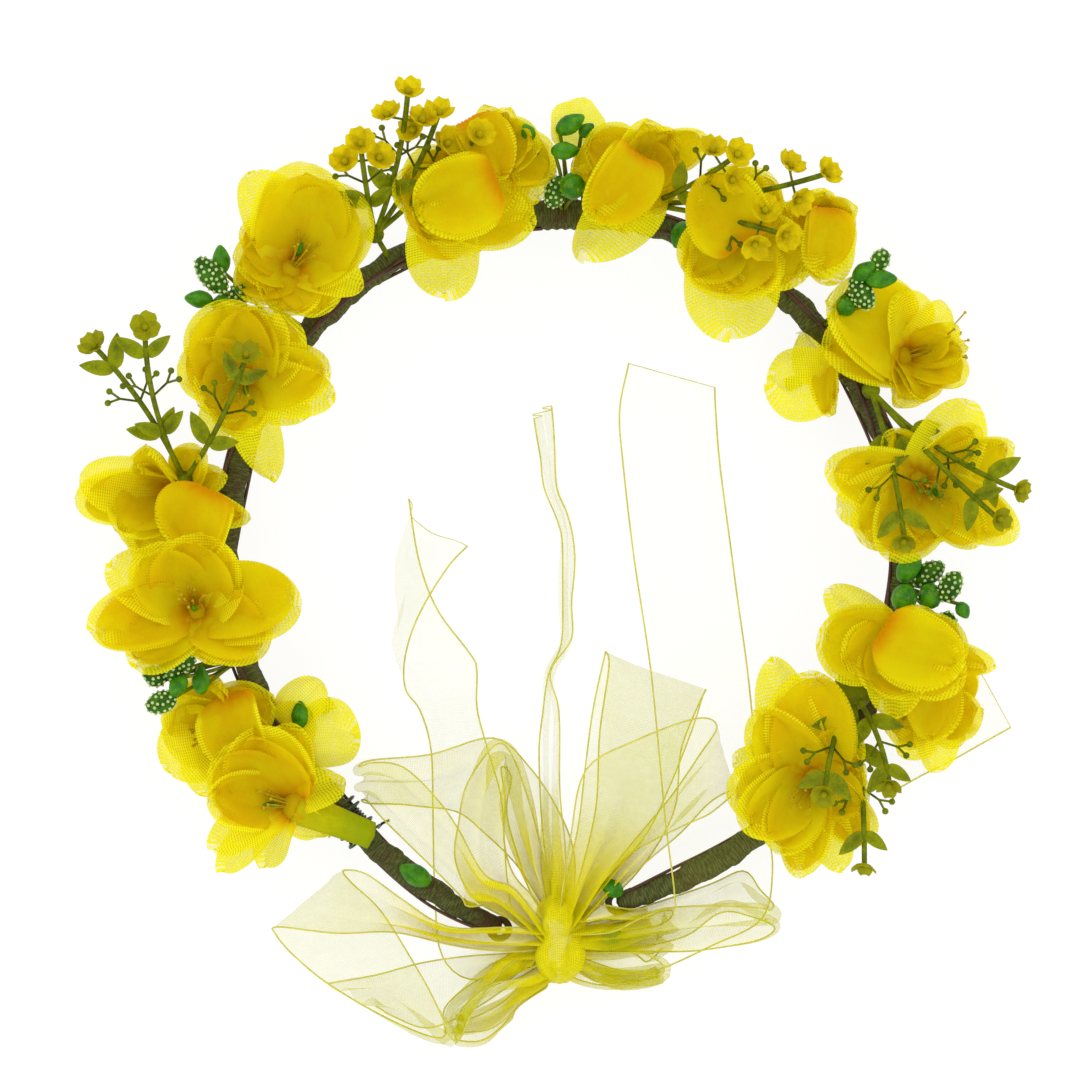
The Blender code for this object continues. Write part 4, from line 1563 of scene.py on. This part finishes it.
BERRIES = (
    BerryCluster(1, Body.LEFT, grains(
        ("dot", -9.6, 9.5, 12, 6.4, 130, 5), ("dot", -2.0, 4.9, 7, 5.5, 60, 3),
        ("pip", -7.1, 13.9, 8, 5, 95, 2), ("pip", -13.1, 3.2, 8, 5, 175, 3),
        ("pip", -6.8, 2.5, 7, 4.6, 200, 2), ("bump", 1.0, -2.0, 7, 6, 90, -2),
        ("dot", 4.0, -4.0, 9, 6, 20, -3))),
    BerryCluster(2, Body.LEFT, grains(
        ("pip", 1.8, 13.8, 9, 5.4, 30, 3), ("pip", 0.5, 6.6, 8, 5, 0, 3), ("bump", 2.4, -2.9, 7, 7, 110, 2),
        ("pip", -9.6, 11.7, 5, 4, 120, 2),
        ("pip", 6.2, 12.3, 5, 4, 40, 1), ("dot", -2.0, -4.0, 9, 6, 70, -2),
        ("disc", 3.6, 13.6, 15, 15, 0, -2))),
    BerryCluster(3, Body.RIGHT, grains(
        ("dot", 5.0, 9.1, 6, 5, 60, 3), ("pip", 0.6, 5.9, 8, 5, 40, 3), ("pip", 5.0, 3.9, 9, 5.4, 0, 3),
        ("dot", -0.1, 0.3, 10, 6.2, 120, 1),
        ("bump", -4.0, -3.0, 6, 5.6, 90, -2))),
    BerryCluster(4, Body.RIGHT, grains(
        ("bump", -9.7, -2.6, 8, 7, 80, 4), ("bump", -2.7, -2.0, 7, 6.4, 90, 3),
        ("dot", 2.6, 0.6, 9, 6.2, 60, 4), ("dot", 1.7, -9.6, 7, 6, 90, 3),
        ("pip", 6.1, -5.8, 5, 4, 300, 3), ("calyx", -8.4, 5.6, 9, 6, 60, 2),
        ("dot", -3.0, 4.0, 10, 6.2, 30, -1))),
    BerryCluster(5, Body.LEFT, grains(
        ("dot", -5.1, 4.0, 8, 6, 90, 4), ("dot", -8.9, 1.5, 8, 6, 110, 3),
        ("dot", -13.3, -1.0, 6.5, 5.4, 150, 2), ("dot", -11.4, -8.0, 8.5, 6, 200, 3),
        ("pip", -6.9, -3.6, 7, 5, 240, 4), ("pip", -1.0, -2.0, 8, 5, 90, 0))),
)


@dataclass
class LeafPips:
    """Single green pips tucked under blossoms, by plan place, height, length, width and heading."""

    body: Body
    places: tuple[tuple[float, ...], ...]

    def build(self, cloths: Wardrobe) -> bpy.types.Object:
        """Builds the pips of one half.

        Args:
            cloths: The finishes.

        Returns:
            The piece.
        """
        skin = Skin()
        for x, y, height, length, width, heading in self.places:
            way = unit(plan(heading, 1.0, 0.3))
            skin.bead(np.array((x, y, height)) * MM, way, length * MM, width * MM, slot=0, point=0.8,
                sides=16)
        piece = skin.piece("leaf_pips_" + self.body.value, [cloths.pip])
        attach(piece, self.body.value)
        return piece


LEAF_PIPS = (
    LeafPips(Body.LEFT, ((-71.6, -44.0, 20, 8, 5, 90), (-66.0, -70.0, 24, 9, 3.4, 335),
    (-40.5, -87.2, 21, 10, 6, 150))),
    LeafPips(Body.RIGHT, ((31.0, 85.6, 22, 8, 5, 250), (58.0, 74.0, 22, 7, 5, 220),
    (12.6, -90.6, 23, 7, 5, 150), (12.7, -103.6, 20, 7, 5, 200))),
)


class Flower(Enum):
    """The floret at a sprig's tips."""

    ORANGE = "orange"
    GREEN = "green"


@dataclass
class Sprig:
    """A moulded sprig: curved stems with leaf pairs, forked buds and a small cup flower at each tip."""

    number: int
    body: Body
    angle: float
    out: float
    stems: tuple[tuple[float, float], ...]
    flower: Flower = Flower.GREEN
    stem_radius: float = 0.00075
    leaf_length: float = 0.0098
    leaf_width: float = 0.0040
    lobe: float = 0.0040
    calyx: float = 0.0050
    twigs: list[np.ndarray] = field(default_factory=list)
    shoots: list[np.ndarray] = field(default_factory=list)

    def leaf(self, skin: Skin, foot: np.ndarray, way: np.ndarray, scale: float) -> None:
        """Adds a pointed, folded and arched leaf.

        Args:
            skin: The mesh to add to.
            foot: Where the leaf starts, in metres.
            way: The direction it points.
            scale: Its size beside the usual leaf.
        """
        way = unit(way)
        side = unit(np.cross(UP, way))
        v, u = np.linspace(0, 1, 9)[:, None], np.linspace(-1, 1, 7)[None]
        half = 0.5 * self.leaf_width * scale * np.sin(math.pi * np.clip(v, 0, 1) ** 0.75) ** 0.8 + 0.0001
        length = self.leaf_length * scale
        rise = 0.10 * length * np.sin(v * math.pi * 0.9) + 0.16 * self.leaf_width * np.abs(u) * np.sin(v
            * math.pi)
        points = foot + length * v[..., None] * way + (half * u)[..., None] * side + rise[..., None] * UP
        uv = np.stack([half * u, length * v + 0 * u], axis=-1)
        skin.grid(points, uv, 0, tint=0.25 * np.abs(u) + 0 * v)

    def floret(self, skin: Skin, centre: np.ndarray, way: np.ndarray, rng: np.random.Generator) -> None:
        """Adds a cup of round lobes about a small eye.

        Args:
            skin: The mesh to add to.
            centre: The floret's middle, in metres.
            way: The direction of its stalk.
            rng: The source of small differences.
        """
        axis = unit(unit(way) + 0.9 * UP + 0.35 * rng.normal(size=3))
        across = unit(np.cross(axis, (0.3, 0.5, 0.81)))
        other = np.cross(axis, across)
        lobes = int(rng.integers(4, 6))
        turn0 = rng.uniform(0, 6)
        v, u = np.linspace(0, 1, 8)[:, None], np.linspace(-1, 1, 7)[None]
        for i in range(lobes):
            turn = turn0 + math.tau * i / lobes
            out = math.cos(turn) * across + math.sin(turn) * other
            side = np.cross(axis, out)
            half = 0.62 * self.lobe * np.sqrt(np.clip(1 - (1.75 * v - 0.9) ** 2, 0.02, 1))
            cup = self.lobe * (0.55 * v**2 + 0.12 * u**2)
            points = centre + self.lobe * v[..., None] * out + (half * u)[..., None] * side + cup[...,
                None] * axis
            uv = np.stack([half * u, self.lobe * v + 0 * u], axis=-1)
            skin.grid(points, uv, 1, tint=np.clip(0.5 - v, 0,
                1) + 0 * u + (0.5 if self.flower is Flower.GREEN else 0.0))
        skin.bead(centre + axis * 0.0007, axis, 0.0024, 0.0020, slot=1, tint=0.6, sides=8)

    def build(self, cloths: Wardrobe, rng: np.random.Generator) -> bpy.types.Object:
        """Builds the leaves and florets and lays out the stems.

        Args:
            cloths: The finishes.
            rng: The source of small differences.

        Returns:
            The piece.
        """
        low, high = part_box(f"sprig_{self.number}")
        top = high.z - 0.004
        turn = math.radians(self.angle)
        reach = Tie.RADIUS + self.out * MM
        base = np.array((reach * math.cos(turn), reach * math.sin(turn), low.z + 0.003))
        skin = Skin()
        for heading, length in self.stems:
            tip = base + plan(heading, length)
            tip[2] = top - rng.uniform(0.0, 0.012)
            aside = plan(heading + 90, length) * rng.uniform(-0.14, 0.14)
            middle = 0.5 * (base + tip) + aside + UP * 0.006
            line = bezier(base, middle, tip, 16)
            self.shoots.append(line)
            ahead = unit(np.gradient(line, axis=0))
            for at in (5, 9, 13):
                for hand in (-1, 1):
                    if at == 13 and self.flower is Flower.ORANGE:
                        beside = line[at] + hand * 0.0045 * unit(np.cross(UP, ahead[at])) + UP * 0.002
                        self.twigs.append(np.array([line[at], 0.5 * (line[at] + beside), beside]))
                        self.floret(skin, beside, hand * np.cross(UP, ahead[at]) + ahead[at], rng)
                        continue
                    spread = unit(ahead[at] + hand * rng.uniform(0.9,
                        1.5) * unit(np.cross(UP, ahead[at])) + UP * rng.uniform(-0.2, 0.3))
                    if at == 9:
                        fork = line[at] + spread * 0.0055
                        for lean in (-0.5, 0.5):
                            end = fork + unit(spread + lean * unit(np.cross(UP, spread))) * 0.0035
                            self.twigs.append(np.array([line[at], fork, end]))
                    else:
                        self.leaf(skin, line[at], spread, rng.uniform(0.82, 1.12))
            self.floret(skin, tip, ahead[-1], rng)
        anchor = Tie.point(self.angle)
        self.shoots.append(np.array([anchor, 0.5 * (anchor + base) + UP * 0.001, base]))
        skin.bead(base, UP, 0.8 * self.calyx, self.calyx, slot=0, sides=16)
        flower = {Flower.ORANGE: cloths.floret, Flower.GREEN: cloths.leaf}[self.flower]
        piece = skin.piece(f"sprig_leaves_{self.number}", [cloths.leaf, flower])
        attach(piece, self.body.value)
        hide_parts(f"sprig_{self.number}")
        return piece


SPRIGS = (
    Sprig(1, Body.LEFT, 169.3, 12.9, ((123, 42), (103, 41.6), (61.5, 37))),
    Sprig(2, Body.LEFT, 120.9, 8.3, ((75.5, 37.6), (60.5, 35.6), (42, 38), (98, 23)), Flower.ORANGE),
    Sprig(3, Body.RIGHT, 76.6, 4.8, ((8, 47), (345, 37), (27, 26)), Flower.ORANGE),
    Sprig(4, Body.RIGHT, 27.9, 1.8, ((281, 41), (324.5, 46.5), (313, 47.6)), lobe=0.0032),
    Sprig(5, Body.RIGHT, -25.7, -5.5, ((273, 46), (252, 28), (290, 26)), calyx=0.0110, lobe=0.0034),
)


class Greenery:
    """All the sprigs, with one piece of stems and one of buds for each half."""

    def build(self, cloths: Wardrobe, sweep: Sweep) -> list[bpy.types.Object]:
        """Builds the sprigs.

        Args:
            cloths: The finishes.
            sweep: The rule for stems.

        Returns:
            The pieces.
        """
        rng = np.random.default_rng(17)
        pieces = [sprig.build(cloths, rng) for sprig in SPRIGS]
        for body in (Body.LEFT, Body.RIGHT):
            mine = [sprig for sprig in SPRIGS if sprig.body is body]
            shoots = [(line, sprig.stem_radius) for sprig in mine for line in sprig.shoots]
            twigs = [line for sprig in mine for line in sprig.twigs]
            stems = sweep.along("sprig_stems_" + body.value, [line for line, _ in shoots],
                [radius for _, radius in shoots], cloths.leaf, 7)
            buds = sweep.along("sprig_buds_" + body.value, twigs, [0.00035] * len(twigs), cloths.leaf, 5,
                0.0009)
            for piece in (stems, buds):
                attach(piece, body.value)
                pieces.append(piece)
        return pieces


# ---- ribbons


class Held(Enum):
    GATHERED = "gathered"
    LAID = "laid"


@dataclass
class Strip:
    """A length of organza ribbon: its two edges from the knot, in mm, and how it is held.

    Each station is (xa, ya, za, xb, yb, zb), with the heights above the table. A station of nine numbers
    adds a fold line between the edges.
    """

    name: str
    body: Body
    stations: tuple[tuple[float, ...], ...]
    held: Held = Held.GATHERED
    nodes: tuple[str, ...] = ()
    thin: float = 0.26
    thick: float = 0.7
    gather: tuple[float, float] = (0.0, 0.0)
    width: float = 0.025
    across: int = 20
    per_span: int = 5
    pleats: float = 2.0
    from_knot: bool = True
    rests_on: tuple[str, ...] = ("bow_knot",)

    def surface(self) -> tuple[np.ndarray, np.ndarray, np.ndarray, float]:
        """The strip as rows across it.

        Returns:
            The points, their place on the cloth, how far the cloth is gathered, and the middle line's length.
        """
        full = []
        for row in self.stations:
            a, b = np.array(row[:3], float), np.array(row[3:6], float)
            m = np.array(row[6:9], float) if len(row) > 6 else 0.5 * (a + b)
            full.append(np.concatenate([a, m, b]))
        lines = catmull(np.array(full), self.per_span) * MM
        if self.from_knot:
            centre = middle_of("knot")
            lines = lines + np.tile((centre[0], centre[1], 0.0), 3)
        a, m, b = lines[:, :3], lines[:, 3:6], lines[:, 6:]
        bend = 2 * m - 0.5 * (a + b)
        u = np.linspace(0, 1, self.across + 1)[None, :, None]
        points = (1 - u) ** 2 * a[:, None] + 2 * u * (1 - u) * bend[:, None] + u**2 * b[:, None]
        span = np.linalg.norm(np.diff(points, axis=1), axis=2).sum(axis=1)
        middle = points[:, self.across // 2]
        length = np.concatenate([[0], np.cumsum(np.linalg.norm(np.diff(middle, axis=0), axis=1))])
        facing = unit(np.cross(np.gradient(points, axis=0), np.gradient(points, axis=1)))
        need = np.sqrt(np.maximum((self.width / np.maximum(span, 1e-4)) ** 2 - 1, 0))
        depth = np.minimum(need, 5.0) * span / (4 * self.pleats)
        uu = np.broadcast_to(np.linspace(0, 1, self.across + 1), points.shape[:2])
        sway = 0.25 * np.sin(length * 90)[:, None]
        wave = np.sin(math.tau * self.pleats * uu + sway) * depth[:, None]
        ripple = 0.0005 * np.sin(length * 160 + 2.0)[:, None] * np.sin(math.pi * 1.3 * uu + 0.5)
        points = points + (wave + ripple)[..., None] * facing
        points[..., 2] = np.maximum(points[..., 2], TABLE_GAP)
        gather = np.clip(self.width / np.maximum(span, 0.0035), 1.0, 7.0)[:, None] + 0 * uu
        uv = np.stack([uu * self.width, length[:, None] + 0 * uu], axis=-1)
        return points, uv, gather, float(length[-1])

    def build(self, cloths: Wardrobe, sweep: Sweep) -> list[bpy.types.Object]:
        """Builds the strip and its two woven edges.

        Args:
            cloths: The finishes.
            sweep: The rule for the edges.

        Returns:
            The pieces.
        """
        points, uv, gather, length = self.surface()
        start, end = self.gather
        share = np.linspace(0, 1, len(points))[:, None]
        tie = np.clip(1 - share / max(start, 1e-6), 0, 1) if start else np.zeros_like(share)
        if end:
            tie = np.maximum(tie, np.clip(1 - (1 - share) / end, 0, 1))
        density = np.clip(self.thin * gather**0.7 + tie * self.thick, 0.0, 0.85)
        skin = Skin()
        skin.grid(points, uv, 0, fullness=density, along=share)
        piece = skin.piece(self.name, [cloths.organza])
        edges, radii = [points[:, 0], points[:, -1]], [0.00024, 0.00024]
        if self.held is Held.LAID:
            edges, radii = [*edges, points[-1]], [*radii, 0.00012]
        selvage = sweep.along(self.name + "_selvage", edges, radii, cloths.selvage, 5)
        for item in (piece, selvage):
            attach(item, self.body.value)
        if self.nodes:
            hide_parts(*self.nodes)
        LOG.info("%s is cut to %.0f x %.0f mm", self.name, 1000 * self.width, 1000 * length)
        return [piece, selvage]


STRIPS = (
    Strip("bow_left_side", Body.BOW,
        ((-3, 2, 23, -3, -2, 21), (-12, 14, 27, -18, 9, 24), (-20, 18, 30, -25, 9.5, 25),
        (-27, 30, 31, -27, 12, 26), (-33, 38, 32, -40, 25, 27), (-42, 46.5, 34, -48, 33, 25),
        (-50, 48, 35, -52, 37, 20), (-53.5, 47, 31, -54, 37, 13), (-50, 48, 24, -51, 36, 8),
        (-35, 49.5, 18, -40, 35, 9), (-18, 54, 13, -28, 34, 11), (-8, 46, 14, -20, 28, 12),
        (0, 34, 15, -12, 20, 13), (4, 22, 16, -6, 11, 14), (3, 6, 18, -2, 4, 17)),
        nodes=("loop_left_side",), gather=(0.24, 0.12), thin=0.27),
    Strip("bow_left_back", Body.BOW,
        ((-8, 3, 20, -3, 3, 20), (-22, 10, 22, -6, 10, 20), (-28, 21, 24, -12, 17, 21),
        (-27, 32, 25, -15, 26, 21), (-25, 42, 24, -15, 36, 20), (-18, 53, 28, -16, 46, 16),
        (-13, 51, 23, -13, 43, 8), (-9, 38, 17, -14, 32, 8), (-4, 20, 15, -9, 14, 14), (0, 6, 18, -3, 5, 17)),
        nodes=("loop_left_back",), gather=(0.3, 0.2), thin=0.27),
    Strip("bow_left_front", Body.BOW,
        ((-3, 3, 22, -3, -3, 20), (-14, 3.5, 25, -14, -3, 23), (-30, 4, 29, -30, -1, 27),
        (-42, 11, 32, -45, 2, 29), (-52, 18, 34, -60, 2, 29), (-58, 19, 31, -76, 3.5, 25),
        (-56, 15, 23, -77, 1.5, 18), (-48, 7, 19, -72, -5, 15), (-38, -9, 19, -63, -13, 11),
        (-32, -20, 21, -46, -22, 8), (-28, -27, 22, -32, -28, 4), (-24, -20, 22, -31, -20, 6),
        (-16, -10, 20, -22, -12, 11), (-5, -3, 19, -8, -6, 18)),
        nodes=("loop_left_front",), gather=(0.26, 0.1), thin=0.25),
    Strip("bow_left_under", Body.BOW,
        ((-3, -3, 19, -3, -6, 17), (-14, -4, 18, -14, -13, 14), (-26, -5, 17, -26, -21, 13),
        (-38, -7, 16, -36, -25, 12), (-50, -10.5, 15, -45, -22, 12), (-63, -13, 14, -50, -19, 12)),
        gather=(0.3, 0.0), thin=0.2),
    Strip("bow_curl_left", Body.BOW,
        ((-1, -6, 20, -1, -10, 17), (-8, -10, 20, -8, -15, 14), (-18, -12, 21, -18, -24, 12),
        (-25, -17, 19, -26, -26, 11), (-28, -22, 20, -28.5, -28, 5), (-24, -22, 14, -22, -28.5, 3),
        (-16, -18, 8, -16, -25, 5), (-10, -13, 10, -12, -20, 6), (-3, -8, 15, -3, -13, 12)),
        gather=(0.22, 0.2), thin=0.26),
    Strip("bow_right_back", Body.BOW,
        ((0, 5, 20, 4, 3, 19), (1, 12, 21, 8, 10, 20), (5, 30, 23, 22, 26, 21), (7, 47, 24, 30, 42, 22),
        (9, 62, 24, 36, 57, 22), (12, 75.5, 21, 38.5, 65, 19), (12.8, 77.5, 15, 39.5, 66.5, 14),
        (13.5, 73, 10, 37, 61, 9), (11, 55, 8, 33, 50, 8), (10, 35, 9, 31, 33, 8), (6, 18, 12, 20, 16, 11),
        (2, 6, 17, 5, 4, 16)),
        nodes=("loop_right_back",), gather=(0.24, 0.18), thin=0.25),
    Strip("bow_right_high", Body.BOW,
        ((0, 4, 23, 3, 3, 22), (1, 14, 27, 12, 16, 25), (3, 28, 30, 22, 25, 27), (7, 46, 34, 33, 31, 29),
        (20, 54, 36, 40, 34, 31), (36, 60, 39, 46, 38.5, 27), (42, 58, 36, 47, 40, 20),
        (37, 50, 33, 40, 36, 17), (31, 40, 26, 30, 27, 23), (18, 24, 24, 16, 14, 22), (4, 6, 22, 4, 2, 21)),
        gather=(0.24, 0.18), thin=0.25),
    Strip("bow_curl_right_low", Body.BOW,
        ((1, -3, 20, 1, -7, 17), (5, -4, 21, 4, -11, 15), (14, -4, 22, 12, -14, 12),
        (23, -4.5, 21, 20, -13.5, 11), (28, -8, 22, 27, -11, 8), (24, -10, 16, 22, -13, 4),
        (14, -9, 10, 12, -13.5, 7), (4, -5, 14, 4, -9, 12)),
        gather=(0.22, 0.2), thin=0.26),
    Strip("bow_curl_right", Body.BOW,
        ((3, 1, 21, 3, -3, 18), (8, 1, 23, 7, -4, 18), (15, 2, 25, 14, -5, 17), (22, 5.5, 25, 20, -5, 16),
        (29, 8, 23, 24, -7, 15), (31, 6, 18, 28, -3, 14), (26, 3, 14, 24, -5, 11), (14, 1, 14, 13, -4, 12),
        (4, 1, 18, 4, -3, 16)),
        gather=(0.2, 0.2), thin=0.24),
    Strip("bow_right_long", Body.BOW,
        ((4, 2, 20, 4, -3, 18), (18, 5, 21, 18, -4, 17), (28, 8, 22, 33, -4, 16), (40, 9, 23, 45, -2, 17),
        (52, 9.5, 27, 55, 0, 16), (57, 9, 26, 58.5, 2.5, 9), (54, 13, 21, 52, 5, 5), (50, 18, 14, 44, 6, 7),
        (40, 14, 12, 34, 0, 10), (22, 8, 14, 18, -3, 12), (5, 3, 18, 5, -3, 16)),
        gather=(0.24, 0.18), thin=0.25),
    Strip("bow_tail_wide", Body.BOW,
        ((4, 2, 20, 3, -6, 19), (16, 3, 20, 14, -13, 16), (27, 7, 20, 28, -9, 11), (31, 8, 24, 42, -2, 9),
        (31, 12, 27, 55, 5, 12), (30, 20, 28, 57.5, 18, 24), (28.5, 32, 28, 55.8, 32, 27),
        (27, 48, 27, 53, 50, 27), (24.5, 74, 20, 50.8, 72, 22), (20.5, 102, 5, 47.5, 100, 6),
        (17.5, 128, 0.8, 44, 128, 0.8), (16.5, 143, 0.8, 42.8, 143, 0.8), (19, 156, 1.5, 42.5, 149.5, 1)),
        held=Held.LAID, nodes=("tail_wide",), gather=(0.12, 0.0), thin=0.045),
    Strip("bow_tail_curled", Body.BOW,
        ((-4, -2, 17, -3, 2, 16), (-22, -12, 7, -12, 4, 8), (-32, -6, 1.2, -14, 14, 3),
        (-34, 12, 1, -15, 26, 1.2), (-34.5, 32, 1, -16, 38, 1), (-35, 50, 1, -20, 52, 1),
        (-38, 61, 1, -22.5, 62, 1), (-42, 67, 1.5, -22.5, 72, 1), (-42, 76, 5, -24, 76, 1, -43, 78, 4),
        (-38, 88, 9, -33, 88, 1, -44, 88, 4), (-30, 101, 12, -38, 101, 3, -43, 100, 7),
        (-25, 106, 9, -41, 119, 3, -38, 112, 6)),
        held=Held.LAID, nodes=("tail_curled",), gather=(0.16, 0.0), thin=0.09),
    Strip("bow_tail_on_edge", Body.BOW,
        ((-2, 6, 17, 1, 6, 21), (-5, 30, 5, 0.5, 30, 24), (-5.5, 48, 3, 0.5, 46, 24),
        (-4, 60, 2, -0.4, 62, 24), (-2.8, 71, 1, -2.4, 72, 23), (0, 79, 1, 3.5, 81, 22),
        (0.6, 90, 1, 2.8, 92, 22), (0.9, 106, 1, 3.6, 106, 23), (-0.5, 113, 1, 2.5, 115, 23),
        (-4, 122, 1, 0, 122, 23), (-4.8, 131, 1, -1.2, 132, 22), (-6.7, 141, 1, -2.5, 144, 20)),
        held=Held.LAID, nodes=("tail_on_edge",), gather=(0.16, 0.0), thin=0.10),
    Strip("ribbon_loose_end", Body.RIGHT,
        ((89, -66, 0.6, 77, -44, 0.8), (98, -61, 0.6, 86, -39, 1.0), (106, -57, 0.9, 94, -35, 0.7),
        (114, -52.5, 0.5, 102, -30.5, 0.9), (122, -48, 0.8, 110, -26, 0.7)),
        held=Held.LAID, nodes=("loose_end",), thin=0.06, from_knot=False, rests_on=("lightbox_floor",)),
)


class Knot:
    """The knot of the bow: the gathered cloth wrapped over itself, with fine pleats."""

    SIZE = (0.0068, 0.0122, 0.0072)
    PLEATS = 6

    def build(self, cloths: Wardrobe) -> bpy.types.Object:
        """Builds the knot round its CAD node.

        Args:
            cloths: The finishes.

        Returns:
            The piece.
        """
        centre = middle_of("knot")
        turn, along = np.linspace(0, math.tau, 73), np.linspace(-1, 1, 41)
        tt, ss = np.meshgrid(turn, along)
        waist = 1 - 0.22 * np.exp(-((ss / 0.22) ** 2)) + 0.1 * np.cos(3 * tt + 2 * ss)
        folds = 0.06 * np.sin(self.PLEATS * tt + 1.5 * np.sin(3 * ss)) + 0.025 * np.sin(2 * self.PLEATS
            * tt + 3 * ss)
        ring = np.sqrt(np.clip(1 - np.abs(ss) ** 3.2, 0, 1)) * (waist + folds)
        x = self.SIZE[0] * ring * np.cos(tt)
        y = self.SIZE[1] * ss + 0.0006 * np.sin(3 * tt)
        y[0], y[-1] = -self.SIZE[1], self.SIZE[1]
        z = self.SIZE[2] * ring * np.sin(tt)
        points = np.stack([x, y, z], axis=-1) + centre
        uv = np.stack([tt * 0.005, self.SIZE[1] * ss], axis=-1)
        skin = Skin()
        skin.grid(points[:, ::-1], uv[:, ::-1], 0, fullness=0.92, along=0.5)
        piece = skin.piece("bow_knot", [cloths.organza])
        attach(piece, Body.BOW.value)
        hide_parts("knot")
        return piece


class Lacing:
    """The gathered neck of ribbon from the knot to the right arm's eye, between the halves, in one fixed
    piece.
    """

    def build(self, cloths: Wardrobe, sweep: Sweep) -> list[bpy.types.Object]:
        """Builds the neck and its edges.

        Args:
            cloths: The finishes.
            sweep: The rule for the edges.

        Returns:
            The pieces.
        """
        strip = Strip("ribbon_lacing", Body.RIGHT, (
            (1, 7, 21, 1, 1, 20), (6, 8, 22, 6, 1, 20.5), (12, 9, 22, 13, 2, 20), (18, 8, 21, 19, 2, 20),
            (24, 8, 20, 25, 3, 19)), thin=0.26)
        points, uv, gather, length = strip.surface()
        skin = Skin()
        skin.grid(points, uv, 0, fullness=np.clip(0.24 * gather, 0, 0.9), along=0.5)
        piece = skin.piece("ribbon_lacing", [cloths.organza])
        selvage = sweep.along("ribbon_lacing_selvage", [points[:, 0], points[:, -1]], [0.00026] * 2,
            cloths.selvage, 5)
        for item in (piece, selvage):
            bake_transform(item)
        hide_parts("lacing")
        return [piece, selvage]


# ---- studio


class Studio:
    """A white table, soft light from all round and a camera straight above."""

    FLOOR_HALF = 2.0
    CAMERA_AT = (-0.00675, 0.00324, 1.642)
    LENS = 200.0
    LAMPS = (((-0.9, 0.9, 1.5), 1.4, 5.0), ((1.0, 0.4, 1.4), 1.4, 3.5), ((0.1, -1.1, 1.3), 1.2, 3.0))

    def build(self, cloths: Wardrobe) -> None:
        """Builds the floor, lights and camera.

        Args:
            cloths: The finishes.
        """
        scene = bpy.context.scene
        mesh = bpy.data.meshes.new("lightbox_floor")
        half = self.FLOOR_HALF
        mesh.from_pydata([(-half, -half, -0.0002), (half, -half, -0.0002), (half, half, -0.0002),
            (-half, half, -0.0002)], [], [(0, 1, 2, 3)])
        mesh.materials.append(cloths.floor)
        show(mesh, "lightbox_floor")
        world = bpy.data.worlds.new("soft_white")
        world.use_nodes = True
        world.node_tree.nodes["Background"].inputs["Color"].default_value = (1.0, 1.0, 1.0, 1.0)
        world.node_tree.nodes["Background"].inputs["Strength"].default_value = 0.9
        scene.world = world
        for number, (place, size, power) in enumerate(self.LAMPS):
            light = bpy.data.lights.new(f"softbox_{number}", "AREA")
            light.size, light.energy = size, power
            lamp = bpy.data.objects.new(light.name, light)
            lamp.location = place
            lamp.rotation_euler = Vector(place).to_track_quat("Z", "Y").to_euler()
            scene.collection.objects.link(lamp)
        camera = bpy.data.objects.new("camera", bpy.data.cameras.new("camera"))
        camera.data.lens, camera.data.sensor_width = self.LENS, 36.0
        camera.data.clip_start, camera.data.clip_end = 0.05, 20.0
        camera.location = self.CAMERA_AT
        scene.collection.objects.link(camera)
        scene.camera = camera
        scene.view_settings.view_transform = "Standard"


def main() -> None:
    """Builds the crown and its studio in order."""
    logging.basicConfig(level=logging.INFO, format="%(message)s")
    cloths, sweep, dots = Wardrobe(), Sweep(), Dots()
    rng = np.random.default_rng(23)
    arms = (TapedArm("arm_left", Body.LEFT, 90.6, 258.0), TapedArm("arm_right", Body.RIGHT, 89.4, -79.0))
    pieces = [piece for arm in arms for piece in arm.build(cloths, sweep, rng)]
    pieces.append(FrontJoin().build(cloths))
    pieces += Binding().build(cloths, sweep)
    pieces += Garland(cloths, sweep).build()
    for cluster in BERRIES:
        pieces += cluster.build(cloths, dots, sweep, rng)
    pieces += [pips.build(cloths) for pips in LEAF_PIPS]
    pieces += Greenery().build(cloths, sweep)
    pieces.append(Knot().build(cloths))
    for strip in STRIPS:
        pieces += strip.build(cloths, sweep)
    pieces += Lacing().build(cloths, sweep)
    for piece in pieces:
        LOG.info("%s: %d faces", piece.name, len(piece.data.polygons))
    Studio().build(cloths)


if __name__ == "__main__":
    main()
